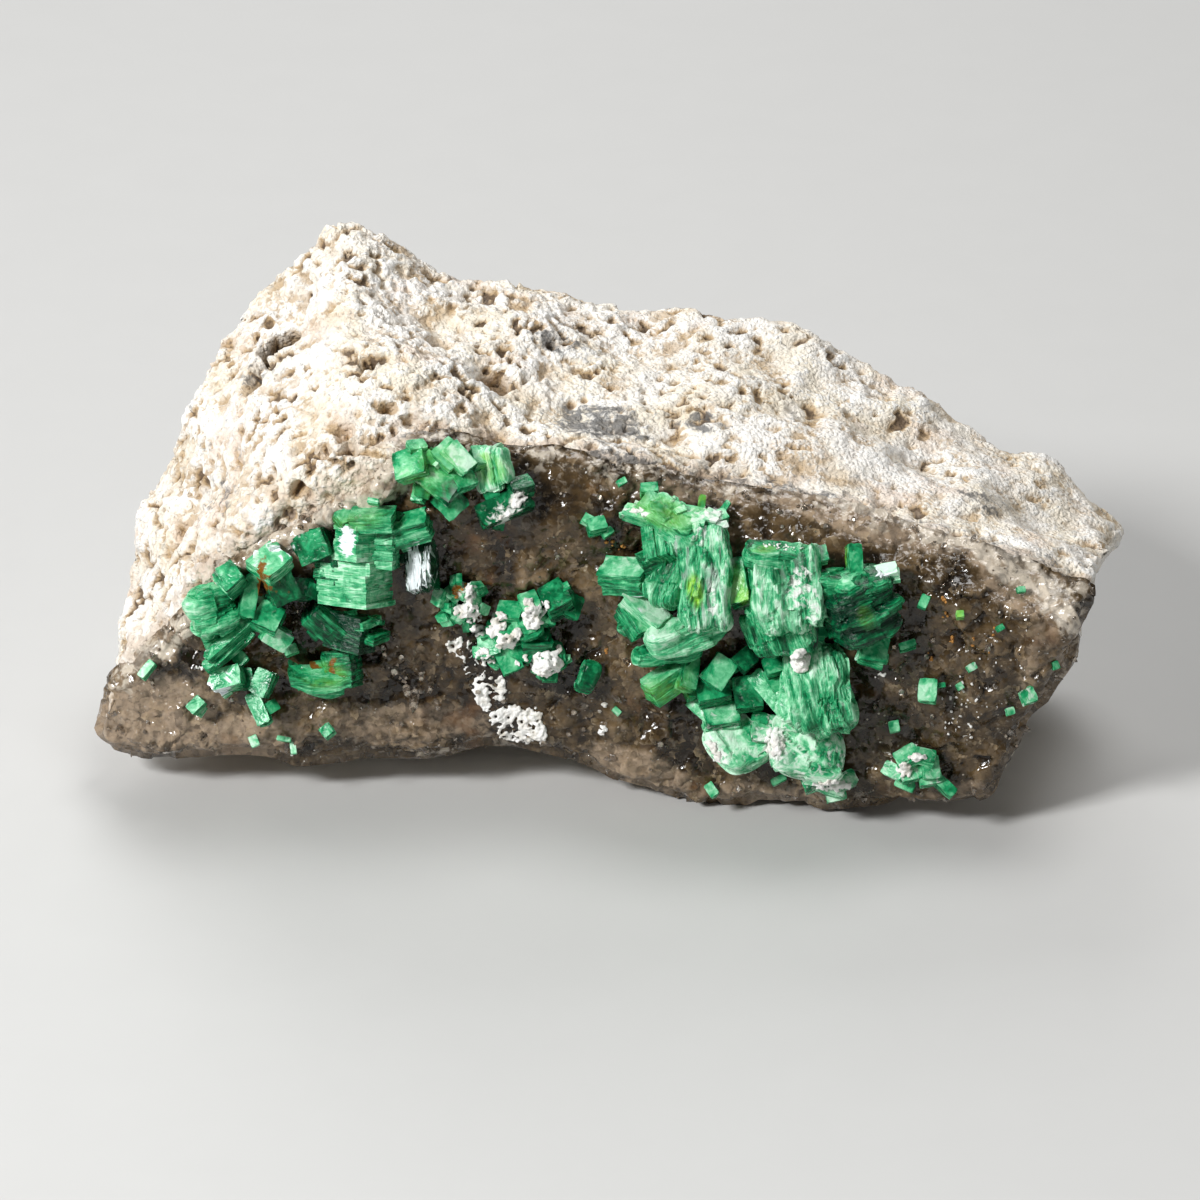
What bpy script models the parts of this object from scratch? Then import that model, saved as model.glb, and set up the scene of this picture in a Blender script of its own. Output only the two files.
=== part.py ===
"""Torbernite on a crust of smoky quartz over its porous host rock, a chip about 40 mm long.

Frame: +X runs right along the quartz face, +Y goes back into the rock, +Z is up.
The origin is on the flat patch that the chip rests on.
Lengths in the tables below are millimetres and become metres in mm().
"""

import math
from collections import namedtuple

import bmesh
import bpy
from mathutils import Matrix, Vector, noise
from mathutils.bvhtree import BVHTree

MM = 0.001
GAP = 0.3 * MM
COLLECTION_NAME = "torbernite_specimen"

# Rock form. Each guide line runs from the left end to the right end: (x, y, z).
# y is measured back from the left half of the quartz face.
FACE_TO_ORIGIN = 6.5
STATION_STEP = 1.25
FOOT = [(-19.5, 1.0, 1.9), (-17.5, 0.5, 1.75), (-13.2, 0.1, 2.2), (-8.5, 0.0, 2.3), (-4.0, 0.0, 2.7),
        (-1.0, 0.0, 2.3), (0.8, -0.2, 1.3), (3.9, -0.75, 0.6), (10.0, -1.9, 0.9), (14.7, -2.7, 1.4),
        (21.6, -3.4, 1.8)]
BROW = [(-19.5, 1.1, 2.6), (-18.9, 0.9, 4.5), (-17.0, 0.6, 6.7), (-15.4, 0.4, 8.7), (-14.0, 0.2, 11.2),
        (-12.2, 0.0, 13.8), (-9.1, 0.0, 15.6), (-4.6, 0.0, 14.7), (-2.6, 0.0, 13.1), (1.3, 0.0, 12.2),
        (10.9, -2.0, 11.0), (15.7, -2.8, 10.0), (21.6, -3.4, 8.4)]
SHOULDER = [(-19.5, 1.7, 2.9), (-18.9, 1.6, 4.9), (-17.0, 1.4, 7.4), (-15.4, 1.3, 9.4), (-12.2, 1.0, 14.3),
            (-9.1, 1.2, 15.9), (-6.0, 1.4, 15.5), (-2.6, 1.3, 14.7), (1.5, 1.2, 13.8), (7.7, 0.9, 12.8),
            (13.4, -0.6, 11.6), (18.5, -1.6, 10.3), (21.6, -2.2, 9.2)]
RIDGE = [(-19.5, 2.5, 3.1), (-18.9, 4.6, 4.8), (-18.2, 7.8, 8.9), (-17.2, 9.4, 11.3), (-15.8, 10.5, 14.3),
         (-14.0, 12.0, 16.2), (-11.6, 13.1, 18.0), (-10.1, 13.6, 19.3), (-9.3, 13.5, 18.8), (-8.2, 13.4, 17.5),
         (-3.2, 13.5, 16.2), (1.6, 13.4, 15.2), (5.6, 13.3, 15.3), (9.4, 12.5, 14.2), (10.8, 12.2, 12.7),
         (14.3, 10.9, 11.6), (17.8, 9.4, 9.7), (21.6, 7.6, 7.7)]
BACK = [(-19.5, 2.7, 2.7), (-18.8, 5.4, 4.2), (-17.6, 9.2, 5.4), (-14.0, 12.6, 6.0), (-9.0, 14.1, 7.2),
        (0.0, 14.2, 6.8), (9.0, 13.4, 5.8), (14.0, 12.0, 5.2), (21.6, 8.4, 5.6)]
BACK_FOOT = [(-19.5, 2.4, 2.3), (-18.0, 5.0, 2.2), (-15.0, 9.6, 1.4), (-9.0, 12.0, 0.5), (2.0, 12.6, 0.3),
             (10.0, 11.6, 0.5), (16.0, 9.8, 1.2), (21.6, 7.6, 3.0)]
KEEL = [(-19.5, 1.9, 2.0), (-17.0, 3.6, 1.2), (-12.0, 6.6, -0.5), (0.0, 7.2, -0.8), (11.0, 6.4, -0.6),
        (16.0, 5.0, 0.6), (21.6, 3.6, 2.0)]
UNDER_FRONT = [(-19.5, 1.5, 1.9), (-16.0, 2.2, 1.5), (-8.5, 2.8, 1.0), (-2.0, 3.0, 0.9), (3.9, 2.2, 0.2),
               (12.0, 1.2, 0.4), (21.6, 0.2, 1.6)]
GUIDES = [FOOT, BROW, SHOULDER, RIDGE, BACK, BACK_FOOT, KEEL, UNDER_FRONT]
# The right end broke off along one plane: three points on it, taken where it meets the outline.
RIGHT_BREAK = [(15.0, -2.7, 1.4), (17.8, -3.0, 9.2), (21.1, 7.8, 8.0)]

# Upper edge of the quartz crust, where the white host rock begins.
RIM = [(-20.5, 1.9, 4.0), (-19.1, 1.6, 4.5), (-17.4, 1.3, 6.2), (-15.4, 1.0, 8.5), (-14.6, 0.9, 10.0),
       (-13.6, 0.9, 11.0), (-11.5, 0.8, 11.9), (-8.8, 0.8, 13.4), (-7.8, 1.0, 15.0), (-6.0, 1.4, 15.7),
       (-2.6, 1.4, 14.9), (1.5, 1.3, 14.0), (7.7, 1.1, 13.0), (13.4, -0.3, 11.8), (18.5, -1.4, 10.7),
       (22.0, -2.0, 9.8)]
CRUST_THICKNESS = 1.3
CRUST_DIP = 1.4

# Surface relief of the rock, as noise: wavelength and height. CHIPS are flat-bottomed scallops
# between sharp ridges, as the rock breaks, and LEDGES are low steps with a flat top.
LUMPS = (4.6, 0.5)
KNOBS = (1.8, 0.24)
CHIPS = (4.0, 0.95)
LEDGES = (2.6, 0.22)
DRUSE = (1.0, 0.24)
VOXEL = 0.42
ROCK_TRIANGLES = 3700
RELIEF_SEED = Vector((3.7, 11.2, 5.9))

# Pits and hollows of the host rock: x, y, z, radius, depth.
PITS = [(-12.6, 9.2, 16.4, 1.5, 1.0), (-12.0, 10.4, 17.2, 1.0, 0.7), (-9.0, 7.6, 17.4, 0.7, 0.6),
        (-6.2, 9.2, 16.9, 1.0, 0.6), (-4.4, 6.0, 15.6, 1.2, 0.7), (-16.0, 4.8, 10.6, 0.9, 0.6),
        (-1.2, 5.0, 14.9, 1.8, 0.5), (3.4, 4.6, 14.2, 1.3, 0.5), (8.0, 7.2, 14.0, 1.1, 0.5),
        (-13.8, 5.6, 13.6, 0.8, 0.5), (12.4, 6.0, 12.2, 1.0, 0.5), (0.8, 9.8, 15.4, 1.2, 0.5),
        (17.2, 4.5, 1.8, 5.0, 1.1), (19.2, 4.5, 6.0, 4.0, 0.7)]

# The specimen is described as it is seen from the front, EYE_TILT above the level.
# Crystals are placed in that view: px to the right and py down, PX millimetres to one unit,
# from the middle of the view, VIEW_MIDDLE above the table.
EYE_TILT = math.radians(28.0)
PX = 0.0384
VIEW_MIDDLE = 8.92
VIEW_CENTRE = 600
RIGHT = Vector((1.0, 0.0, 0.0))
UP = Vector((0.0, math.sin(EYE_TILT), math.cos(EYE_TILT)))
EYE = Vector((0.0, -math.cos(EYE_TILT), math.sin(EYE_TILT)))

# A book is a stack of square tablets. out is how far its middle stands in front of the crust,
# width and height are the tablet's sides, and thick is the height of the stack.
# axis is the way the stack points: right, up, towards the eye. spin turns it about that axis.
# form is "tablet" for flat faces and sharp corners, or "round" for a bulging, grown-over book.
Book = namedtuple("Book", "px py out width height thick axis spin form", defaults=["tablet"])

LEFT_FAN = [
    Book(218, 609, 0.5, 1.65, 1.5, 1.7, (-0.15, 1.0, 0.25), 12),
    Book(232, 580, 0.8, 1.0, 1.0, 0.9, (-0.25, 0.35, 0.9), 42),
    Book(249, 597, 0.8, 0.6, 1.7, 0.8, (0.25, 0.1, 0.95), -8),
    Book(272, 564, 0.8, 1.35, 1.35, 0.7, (-0.1, 0.62, 0.78), 45),
    Book(283, 588, 0.8, 1.1, 1.25, 0.9, (0.3, -0.1, 0.95), 22),
    Book(303, 590, 0.7, 1.0, 0.95, 0.35, (0.5, 0.05, 0.85), 0),
    Book(268, 619, 0.9, 1.1, 1.1, 1.0, (0.1, 0.3, 0.95), -25),
    Book(276, 636, 0.8, 1.1, 0.7, 0.6, (0.2, -0.35, 0.9), -30),
    Book(232, 640, 0.8, 2.5, 0.45, 0.7, (-0.25, 0.35, 0.9), 42),
    Book(225, 652, 0.6, 2.3, 0.5, 0.7, (-0.25, 0.4, 0.9), 40),
    Book(228, 680, 0.7, 1.3, 0.85, 1.0, (-0.35, 0.2, 0.9), 10),
    Book(262, 684, 0.6, 0.75, 1.05, 0.8, (-0.25, 0.1, 0.95), -25),
    Book(245, 680, 0.4, 0.7, 0.8, 0.8, (-0.2, 0.1, 0.95), 5),
    Book(257, 710, 0.6, 0.6, 1.4, 0.5, (-0.2, 0.2, 0.95), 25),
    Book(268, 708, 0.5, 0.6, 0.5, 0.4, (0.3, 0.2, 0.9), 30),
    Book(211, 637, 0.4, 0.85, 0.7, 0.6, (-0.2, 0.8, 0.6), 10),
]
BIG_BOOK = [
    Book(318, 547, 0.5, 1.3, 1.2, 1.0, (-0.35, -0.1, 0.95), 22),
    Book(346, 521, 0.5, 0.75, 0.7, 0.6, (0.15, 0.65, 0.7), 35),
    Book(376, 520, 0.8, 1.7, 1.3, 0.6, (-0.05, 0.9, 0.4), -10),
    Book(359, 583, 0.9, 2.45, 2.2, 1.8, (0.02, 1.0, 0.12), -21),
    Book(361, 542, 0.8, 1.5, 1.5, 1.4, (0.05, 1.0, 0.12), -50),
    Book(381, 548, 0.7, 1.4, 1.3, 1.5, (0.05, 1.0, 0.1), -12),
    Book(408, 531, 0.9, 2.0, 0.95, 1.0, (-0.33, 0.72, 0.6), 0),
    Book(336, 570, 0.5, 1.2, 1.2, 1.4, (-0.1, 1.0, 0.1), -30),
]
GLASSY_PRISM = [
    Book(423, 566, 0.6, 2.0, 1.1, 0.95, (1.0, 0.12, 0.3), 0),
]
LEDGE_SLAB = [
    Book(326, 624, 0.6, 1.7, 1.1, 0.9, (0.65, 0.65, 0.3), 0),
    Book(350, 631, 0.5, 1.7, 1.3, 1.4, (0.15, 0.95, 0.2), -30),
    Book(368, 634, 0.4, 1.5, 1.2, 0.3, (0.1, 0.9, 0.35), -35),
    Book(362, 622, 0.4, 1.4, 1.2, 0.3, (-0.15, 0.95, 0.25), -40),
]
BOWL_CRYSTAL = [
    Book(321, 680, 0.6, 2.6, 1.7, 0.4, (0.0, 0.93, 0.37), 0),
    Book(323, 687, 0.6, 2.0, 1.4, 0.4, (0.02, 0.93, 0.3), 0),
    Book(326, 692, 0.5, 1.3, 1.1, 0.3, (0.02, 0.93, 0.3), 5),
    Book(344, 669, 0.6, 1.1, 1.0, 1.4, (-0.1, 1.0, 0.15), -25),
    Book(328, 664, 0.5, 0.55, 0.7, 0.8, (0.1, 1.0, 0.2), 20),
]
TOP_TABLETS = [
    Book(419, 452, 0.4, 0.75, 0.65, 0.6, (0.1, 0.75, 0.6), 20),
    Book(414, 468, 0.4, 1.3, 1.2, 0.6, (-0.35, 0.35, 0.85), 10),
    Book(460, 461, 0.9, 1.3, 0.75, 0.5, (0.25, 0.35, 0.9), -45),
    Book(449, 459, 0.7, 1.1, 1.0, 0.8, (0.2, 0.3, 0.9), -42),
    Book(440, 479, 0.6, 1.9, 1.4, 0.9, (0.1, 0.15, 1.0), -38),
    Book(466, 484, 0.6, 0.9, 0.6, 0.5, (0.3, 0.5, 0.8), 28),
    Book(451, 502, 0.5, 1.1, 1.15, 0.8, (0.1, -0.2, 0.95), 42),
    Book(422, 493, 0.3, 0.5, 0.9, 0.5, (-0.3, 0.3, 0.9), -15),
]
BARREL_BOOK = [
    Book(495, 470, 0.5, 1.5, 1.1, 1.35, (0.9, 0.2, 0.4), 8, "round"),
    Book(484, 462, 0.5, 1.1, 0.9, 0.7, (0.3, 0.6, 0.7), 20),
]
DARK_TABLET = [
    Book(505, 508, 0.4, 2.2, 1.0, 0.7, (0.1, 0.3, 0.95), 30),
    Book(522, 489, 0.4, 1.0, 0.75, 0.6, (0.1, 0.7, 0.7), 28),
]
DUSTED_CLUSTER = [
    Book(557, 599, 0.4, 1.1, 1.3, 0.9, (-0.2, 0.5, 0.85), 25),
    Book(572, 606, 0.3, 0.7, 1.0, 0.3, (0.5, 0.2, 0.8), -20),
    Book(530, 606, 0.4, 0.8, 0.9, 0.7, (0.0, 0.6, 0.8), 20),
    Book(545, 615, 0.3, 0.8, 0.9, 0.6, (0.2, 0.3, 0.9), 0),
    Book(509, 613, 0.3, 1.0, 0.8, 0.5, (-0.1, 0.5, 0.85), -10),
    Book(505, 630, 0.3, 1.1, 1.1, 0.7, (-0.1, 0.3, 0.9), 15, "round"),
    Book(528, 626, 0.4, 1.2, 1.1, 0.7, (0.1, 0.2, 0.95), 30, "round"),
    Book(490, 645, 0.3, 0.9, 1.0, 0.5, (-0.3, 0.2, 0.9), 15),
    Book(507, 657, 0.4, 0.9, 1.3, 0.6, (0.0, 0.1, 1.0), 25),
    Book(535, 645, 0.4, 1.3, 0.8, 0.7, (0.1, 0.7, 0.6), 10),
    Book(549, 661, 0.4, 1.35, 1.2, 0.7, (0.0, 0.2, 1.0), 30, "round"),
    Book(522, 652, 0.3, 0.9, 0.8, 0.5, (0.1, 0.3, 0.9), -20),
]
BEAD = [
    Book(588, 678, 0.3, 0.8, 1.25, 0.8, (0.1, 0.1, 1.0), -22, "round"),
]
RIGHT_CLUSTER = [
    Book(636, 515, 0.4, 1.1, 0.6, 0.5, (0.0, 0.6, 0.8), -20),
    Book(660, 510, 0.5, 1.1, 0.9, 0.7, (-0.1, 0.7, 0.7), -30),
    Book(668, 523, 0.7, 1.8, 1.1, 0.8, (0.1, 0.8, 0.5), 10),
    Book(700, 519, 0.6, 1.4, 0.7, 0.5, (0.1, 0.7, 0.6), -12),
    Book(715, 520, 0.5, 0.9, 0.5, 0.4, (0.1, 0.5, 0.8), 25),
    Book(702, 574, 1.2, 1.55, 3.7, 1.2, (-0.15, 0.1, 1.0), 3),
    Book(716, 578, 0.9, 0.9, 3.0, 0.9, (0.3, 0.05, 0.95), 2),
    Book(668, 540, 0.7, 1.3, 1.1, 1.0, (0.0, 1.0, 0.2), 8),
    Book(627, 578, 0.7, 1.8, 1.0, 1.1, (-0.1, 0.85, 0.5), -10),
    Book(665, 583, 0.8, 1.1, 1.1, 2.4, (0.05, 1.0, 0.1), 12),
    Book(645, 611, 1.0, 1.9, 0.9, 0.7, (0.3, 0.5, 0.8), -42),
    Book(633, 621, 0.9, 1.4, 0.7, 0.8, (0.4, 0.5, 0.7), -52),
    Book(688, 634, 1.1, 3.0, 1.1, 1.0, (-0.1, 0.8, 0.55), 0),
    Book(668, 653, 0.8, 2.5, 1.0, 0.8, (-0.15, 0.8, 0.45), 0),
    Book(740, 582, 0.9, 1.1, 1.9, 1.0, (-0.5, 0.1, 0.85), 14),
    Book(757, 581, 1.2, 0.6, 2.5, 1.1, (0.0, 0.05, 1.0), 0),
    Book(789, 588, 1.2, 2.1, 2.3, 1.6, (0.1, 0.1, 1.0), -8, "round"),
    Book(774, 627, 1.1, 2.3, 1.9, 1.5, (0.0, -0.2, 1.0), -32, "round"),
    Book(780, 556, 0.9, 2.3, 1.3, 0.5, (0.05, 0.93, 0.3), 0),
    Book(808, 624, 0.9, 0.5, 1.9, 0.8, (0.25, 0.0, 1.0), 0),
    Book(812, 558, 0.6, 1.0, 0.7, 0.5, (0.0, 0.5, 0.9), 10),
    Book(858, 610, 1.0, 2.3, 2.0, 2.1, (-0.15, 0.9, 0.4), 25, "round"),
    Book(861, 586, 0.9, 2.3, 1.8, 0.6, (-0.2, 0.85, 0.45), 12),
    Book(832, 582, 0.9, 1.8, 1.3, 0.7, (0.0, 0.9, 0.3), 0),
    Book(851, 560, 0.5, 0.55, 1.2, 0.6, (0.2, 0.2, 1.0), 3),
    Book(882, 574, 0.5, 1.0, 0.7, 0.5, (-0.15, 0.7, 0.7), 5),
    Book(872, 650, 0.7, 1.0, 1.1, 0.7, (0.1, 0.35, 0.93), -12),
    Book(668, 683, 0.6, 1.8, 1.4, 0.8, (-0.2, 0.4, 0.9), 30),
    Book(688, 673, 0.6, 0.7, 1.4, 0.6, (0.5, 0.2, 0.8), -10),
    Book(694, 690, 0.4, 0.8, 0.7, 0.5, (0.2, 0.4, 0.9), 25),
    Book(719, 672, 0.7, 1.0, 1.3, 0.8, (0.1, 0.15, 1.0), -35),
    Book(714, 694, 0.6, 1.4, 0.9, 0.8, (0.0, 0.4, 0.9), 15),
    Book(745, 661, 0.7, 0.8, 0.8, 0.4, (0.1, 0.3, 0.95), 42),
    Book(748, 694, 0.6, 1.1, 1.3, 0.9, (0.0, 0.3, 0.95), 10),
    Book(770, 692, 0.8, 0.7, 2.0, 0.7, (-0.2, 0.2, 0.95), 40),
    Book(784, 692, 0.8, 0.8, 2.2, 0.7, (0.1, 0.3, 0.95), 36),
    Book(775, 668, 0.7, 0.9, 0.8, 0.6, (0.0, 0.6, 0.8), 20),
    Book(799, 661, 1.2, 0.8, 0.8, 0.8, (0.0, 0.2, 1.0), 20, "round"),
    Book(827, 690, 1.1, 1.9, 2.9, 1.6, (0.2, 0.1, 1.0), -4, "round"),
    Book(799, 694, 1.1, 1.3, 2.0, 1.3, (-0.4, 0.1, 0.9), 6, "round"),
    Book(735, 744, 0.9, 2.0, 1.9, 1.2, (-0.1, 0.35, 0.93), 38),
    Book(703, 710, 0.5, 1.2, 0.7, 0.6, (-0.2, 0.3, 0.95), -42),
    Book(722, 718, 0.6, 1.4, 1.1, 0.8, (0.0, 0.5, 0.85), 10),
    Book(808, 751, 1.0, 2.9, 1.9, 1.3, (0.1, 0.2, 0.97), -6, "round"),
    Book(764, 731, 0.7, 1.0, 1.1, 1.0, (0.1, 0.3, 0.95), 0),
    Book(830, 781, 0.9, 1.8, 1.1, 0.8, (0.0, 0.3, 0.95), 4),
]
LOWER_FLAKES = [
    Book(913, 760, 0.45, 1.5, 0.8, 0.5, (-0.1, 0.5, 0.85), 20),
    Book(928, 767, 0.45, 1.0, 1.1, 0.5, (0.15, 0.2, 0.95), -5),
    Book(905, 775, 0.45, 1.5, 0.7, 0.5, (-0.1, 0.3, 0.95), -12),
    Book(930, 779, 0.45, 0.9, 0.6, 0.4, (0.1, 0.3, 0.95), 10),
    Book(944, 787, 0.45, 1.2, 0.45, 0.5, (0.1, 0.3, 0.95), -40),
]
SINGLE_TABLETS = {
    "far_left_lath": Book(143, 671, 0.4, 0.85, 0.35, 0.4, (-0.2, 0.3, 0.9), 48),
    "left_edge_flake": Book(193, 706, 0.4, 0.7, 0.5, 0.4, (-0.2, 0.3, 0.9), 42),
    "foot_diamond_tablet": Book(325, 733, 0.4, 0.5, 0.5, 0.4, (-0.2, 0.3, 0.95), 35),
    "upper_middle_flake": Book(597, 526, 0.4, 0.8, 0.6, 0.5, (0.1, 0.4, 0.9), 15),
    "upper_rim_flake": Book(649, 491, 0.4, 0.7, 0.45, 0.5, (0.0, 0.5, 0.85), 5),
    "foot_lath": Book(713, 792, 0.4, 0.4, 0.6, 0.4, (-0.1, 0.2, 0.95), 35),
    "foot_ellipse_tablet": Book(780, 782, 0.4, 0.65, 0.3, 0.4, (0.0, 0.2, 0.95), 28),
    "upper_right_lath": Book(920, 602, 0.4, 0.35, 0.55, 0.4, (0.0, 0.2, 0.95), -20),
    "right_square_tablet": Book(926, 691, 0.4, 0.75, 0.95, 0.5, (-0.1, 0.2, 0.95), -4),
    "right_small_tablet": Book(894, 727, 0.4, 0.42, 0.45, 0.4, (0.0, 0.2, 0.95), 10),
    "right_strip": Book(905, 646, 0.4, 0.7, 0.3, 0.4, (0.0, 0.3, 0.95), 14),
    "far_right_tablet": Book(1025, 696, 0.4, 0.6, 0.6, 0.4, (0.2, 0.2, 0.95), 20),
    "yellow_green_flake": Book(956, 615, 0.4, 0.35, 0.4, 0.4, (0.0, 0.3, 0.95), 5),
}
ROSETTE = {"px": 461, "py": 603, "out": 0.35, "radius": 0.62, "petals": 7, "side": 0.85, "thick": 0.35}

# The white powdery coating at the foot: lumps of one crust, each px, py and radius.
WHITE_TRAIL = [(487, 684, 0.42), (484, 698, 0.44), (496, 709, 0.44), (508, 718, 0.46), (521, 722, 0.46),
               (529, 732, 0.5), (513, 731, 0.46), (499, 724, 0.42), (530, 717, 0.4)]
WHITE_STANDS_OUT = 0.3

BEVEL_SHARE = 0.3
STEP_HEIGHT = 1.0
STEP_SLIP = 0.07
STEP_TURN = 5.0
WEAR_SEED = 17


def mm(x, y, z):
    """A point of the rock, from millimetres behind the face to metres from the origin."""
    return Vector((x, y - FACE_TO_ORIGIN, z)) * MM


def clear_scene():
    for obj in list(bpy.context.scene.objects):
        bpy.data.objects.remove(obj, do_unlink=True)


def make_collection(name):
    made = bpy.data.collections.new(name)
    bpy.context.scene.collection.children.link(made)
    return made


def make_material(name, colour, roughness):
    made = bpy.data.materials.new(name)
    made.use_nodes = True
    shader = made.node_tree.nodes["Principled BSDF"]
    shader.inputs["Base Color"].default_value = (*colour, 1.0)
    shader.inputs["Roughness"].default_value = roughness
    made.diffuse_color = (*colour, 1.0)
    return made


def add_object(name, mesh, collection):
    made = bpy.data.objects.new(name, mesh)
    collection.objects.link(made)
    return made


def add_cutter(name, mesh, collection):
    made = add_object(name, mesh, collection)
    made.hide_render = True
    made.display_type = "WIRE"
    return made


def settle(obj):
    """Turns what the modifiers make into the object's own mesh."""
    depsgraph = bpy.context.evaluated_depsgraph_get()
    mesh = bpy.data.meshes.new_from_object(obj.evaluated_get(depsgraph))
    obj.modifiers.clear()
    obj.data = mesh


def boolean(obj, operation, cutter):
    """Adds one exact Boolean with another object and settles it."""
    step = obj.modifiers.new(operation.lower(), "BOOLEAN")
    step.operation = operation
    step.solver = "EXACT"
    step.object = cutter
    settle(obj)


def along(guide, x):
    """The y and z of a guide line at x."""
    for (x0, y0, z0), (x1, y1, z1) in zip(guide, guide[1:]):
        if x <= x1:
            share = (x - x0) / (x1 - x0)
            return y0 + (y1 - y0) * share, z0 + (z1 - z0) * share
    return guide[-1][1:]


def loft(name, sections):
    """A closed solid through rings of points, one after the other, with flat ends."""
    bm = bmesh.new()
    rings = []
    for section in sections:
        verts = [bm.verts.new(point) for point in section]
        edges = [bm.edges.new((a, b)) for a, b in zip(verts, verts[1:] + verts[:1])]
        rings.append((verts, edges))
    for (_, left), (_, right) in zip(rings, rings[1:]):
        bmesh.ops.bridge_loops(bm, edges=left + right)
    for verts, _ in (rings[0], rings[-1]):
        bm.faces.new(verts)
    bmesh.ops.recalc_face_normals(bm, faces=bm.faces)
    mesh = bpy.data.meshes.new(name)
    bm.to_mesh(mesh)
    bm.free()
    return mesh


def stations(first, last, step):
    count = math.ceil((last - first) / step)
    return [first + (last - first) * i / count for i in range(count + 1)]


def cut_plane(mesh, point, normal):
    """Cuts off what lies on the normal's side of a plane and closes the cut."""
    bm = bmesh.new()
    bm.from_mesh(mesh)
    everything = bm.verts[:] + bm.edges[:] + bm.faces[:]
    cut = bmesh.ops.bisect_plane(bm, geom=everything, plane_co=point, plane_no=normal, clear_outer=True)
    rim = [item for item in cut["geom_cut"] if isinstance(item, bmesh.types.BMEdge)]
    bmesh.ops.holes_fill(bm, edges=rim)
    bmesh.ops.recalc_face_normals(bm, faces=bm.faces)
    bm.to_mesh(mesh)
    bm.free()


def drop_crumbs(mesh):
    """Keeps the largest connected piece of a mesh."""
    bm = bmesh.new()
    bm.from_mesh(mesh)
    pieces = []
    left = set(bm.verts)
    while left:
        piece = set()
        front = [left.pop()]
        while front:
            vert = front.pop()
            piece.add(vert)
            near = [edge.other_vert(vert) for edge in vert.link_edges]
            front += [other for other in near if other in left]
            left.difference_update(near)
        pieces.append(piece)
    largest = max(pieces, key=len)
    bmesh.ops.delete(bm, geom=[vert for vert in bm.verts if vert not in largest], context="VERTS")
    bm.to_mesh(mesh)
    bm.free()


def waves(point, wavelength, height):
    """Smooth noise of a wavelength and height in millimetres, in metres."""
    return noise.noise(point / (wavelength * MM) + RELIEF_SEED) * height * MM


def chips(point, wavelength, height):
    """Scallops that meet in ridges, in metres, with their mean near zero."""
    distances, _ = noise.voronoi(point / (wavelength * MM) + RELIEF_SEED)
    return (min(distances[0], 0.8) - 0.4) * height * MM


def ledges(point, wavelength, height):
    """Plateaus of chance height, each with a step at its edge, in metres."""
    return (noise.cell(point / (wavelength * MM) + RELIEF_SEED) - 0.5) * height * MM


def relief(point, normal):
    """How far the surface moves out at a point: broken rock behind and above, druse in front."""
    facing_front = max(0.0, min(1.0, -normal.y * 1.6 - 0.3))
    broken = waves(point, *LUMPS) + waves(point, *KNOBS) + chips(point, *CHIPS) + ledges(point, *LEDGES)
    drusy = 0.5 * waves(point, *LUMPS) + waves(point, *DRUSE)
    out = broken + (drusy - broken) * facing_front
    for x, y, z, radius, depth in PITS:
        near = (point - mm(x, y, z)).length / (radius * MM)
        if near < 1.0:
            out -= depth * MM * (1.0 - near * near)
    return out


def make_rock(collection):
    """The whole lump: a loft through the guide lines, broken at the right, roughened and flat below."""
    rings = []
    for x in stations(FOOT[0][0], FOOT[-1][0], STATION_STEP):
        rings.append([mm(x, *along(guide, x)) for guide in GUIDES])
    rock = add_object("rock", loft("rock", rings), collection)
    a, b, c = (mm(*point) for point in RIGHT_BREAK)
    cut_plane(rock.data, a, (c - a).cross(b - a))
    remesh = rock.modifiers.new("even_mesh", "REMESH")
    remesh.mode = "VOXEL"
    remesh.voxel_size = VOXEL * MM
    settle(rock)
    mesh = rock.data
    moved = [v.co + v.normal * relief(v.co, v.normal) for v in mesh.vertices]
    for vertex, place in zip(mesh.vertices, moved):
        vertex.co = place
    thin = rock.modifiers.new("fewer_faces", "DECIMATE")
    mesh.calc_loop_triangles()
    thin.ratio = ROCK_TRIANGLES / len(mesh.loop_triangles)
    settle(rock)
    cut_plane(rock.data, Vector((0, 0, 0)), Vector((0, 0, -1)))
    drop_crumbs(rock.data)
    return rock


def crust_zone(name, shift, collection):
    """The space that the quartz crust fills, with its back moved by shift."""
    front = -12.0
    bottom = -3.0
    rings = []
    for x in stations(RIM[0][0], RIM[-1][0], STATION_STEP):
        rim_y, rim_z = along(RIM, x)
        foot_y, foot_z = along(FOOT, x)
        back = foot_y + CRUST_THICKNESS + shift
        low = min(foot_z + CRUST_THICKNESS, rim_z - CRUST_DIP)
        rings.append([
            mm(x, front, bottom),
            mm(x, front, rim_z + shift),
            mm(x, rim_y + shift, rim_z + shift),
            mm(x, rim_y + 0.5 * CRUST_THICKNESS + shift, rim_z - CRUST_DIP + shift),
            mm(x, back, low),
            mm(x, back, bottom),
        ])
    return add_cutter(name, loft(name, rings), collection)


def surface(obj):
    """A search tree over an object's surface."""
    bm = bmesh.new()
    bm.from_mesh(obj.data)
    tree = BVHTree.FromBMesh(bm)
    bm.free()
    return tree


def seen_point(tree, px, py):
    """The point of the specimen that shows at a place of the front view."""
    middle = mm(0, 0, VIEW_MIDDLE)
    on_view = middle + (RIGHT * (px - VIEW_CENTRE) + UP * (VIEW_CENTRE - py)) * PX * MM
    start = on_view + EYE * 100 * MM
    place, _, _, _ = tree.ray_cast(start, -EYE)
    return place


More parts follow.
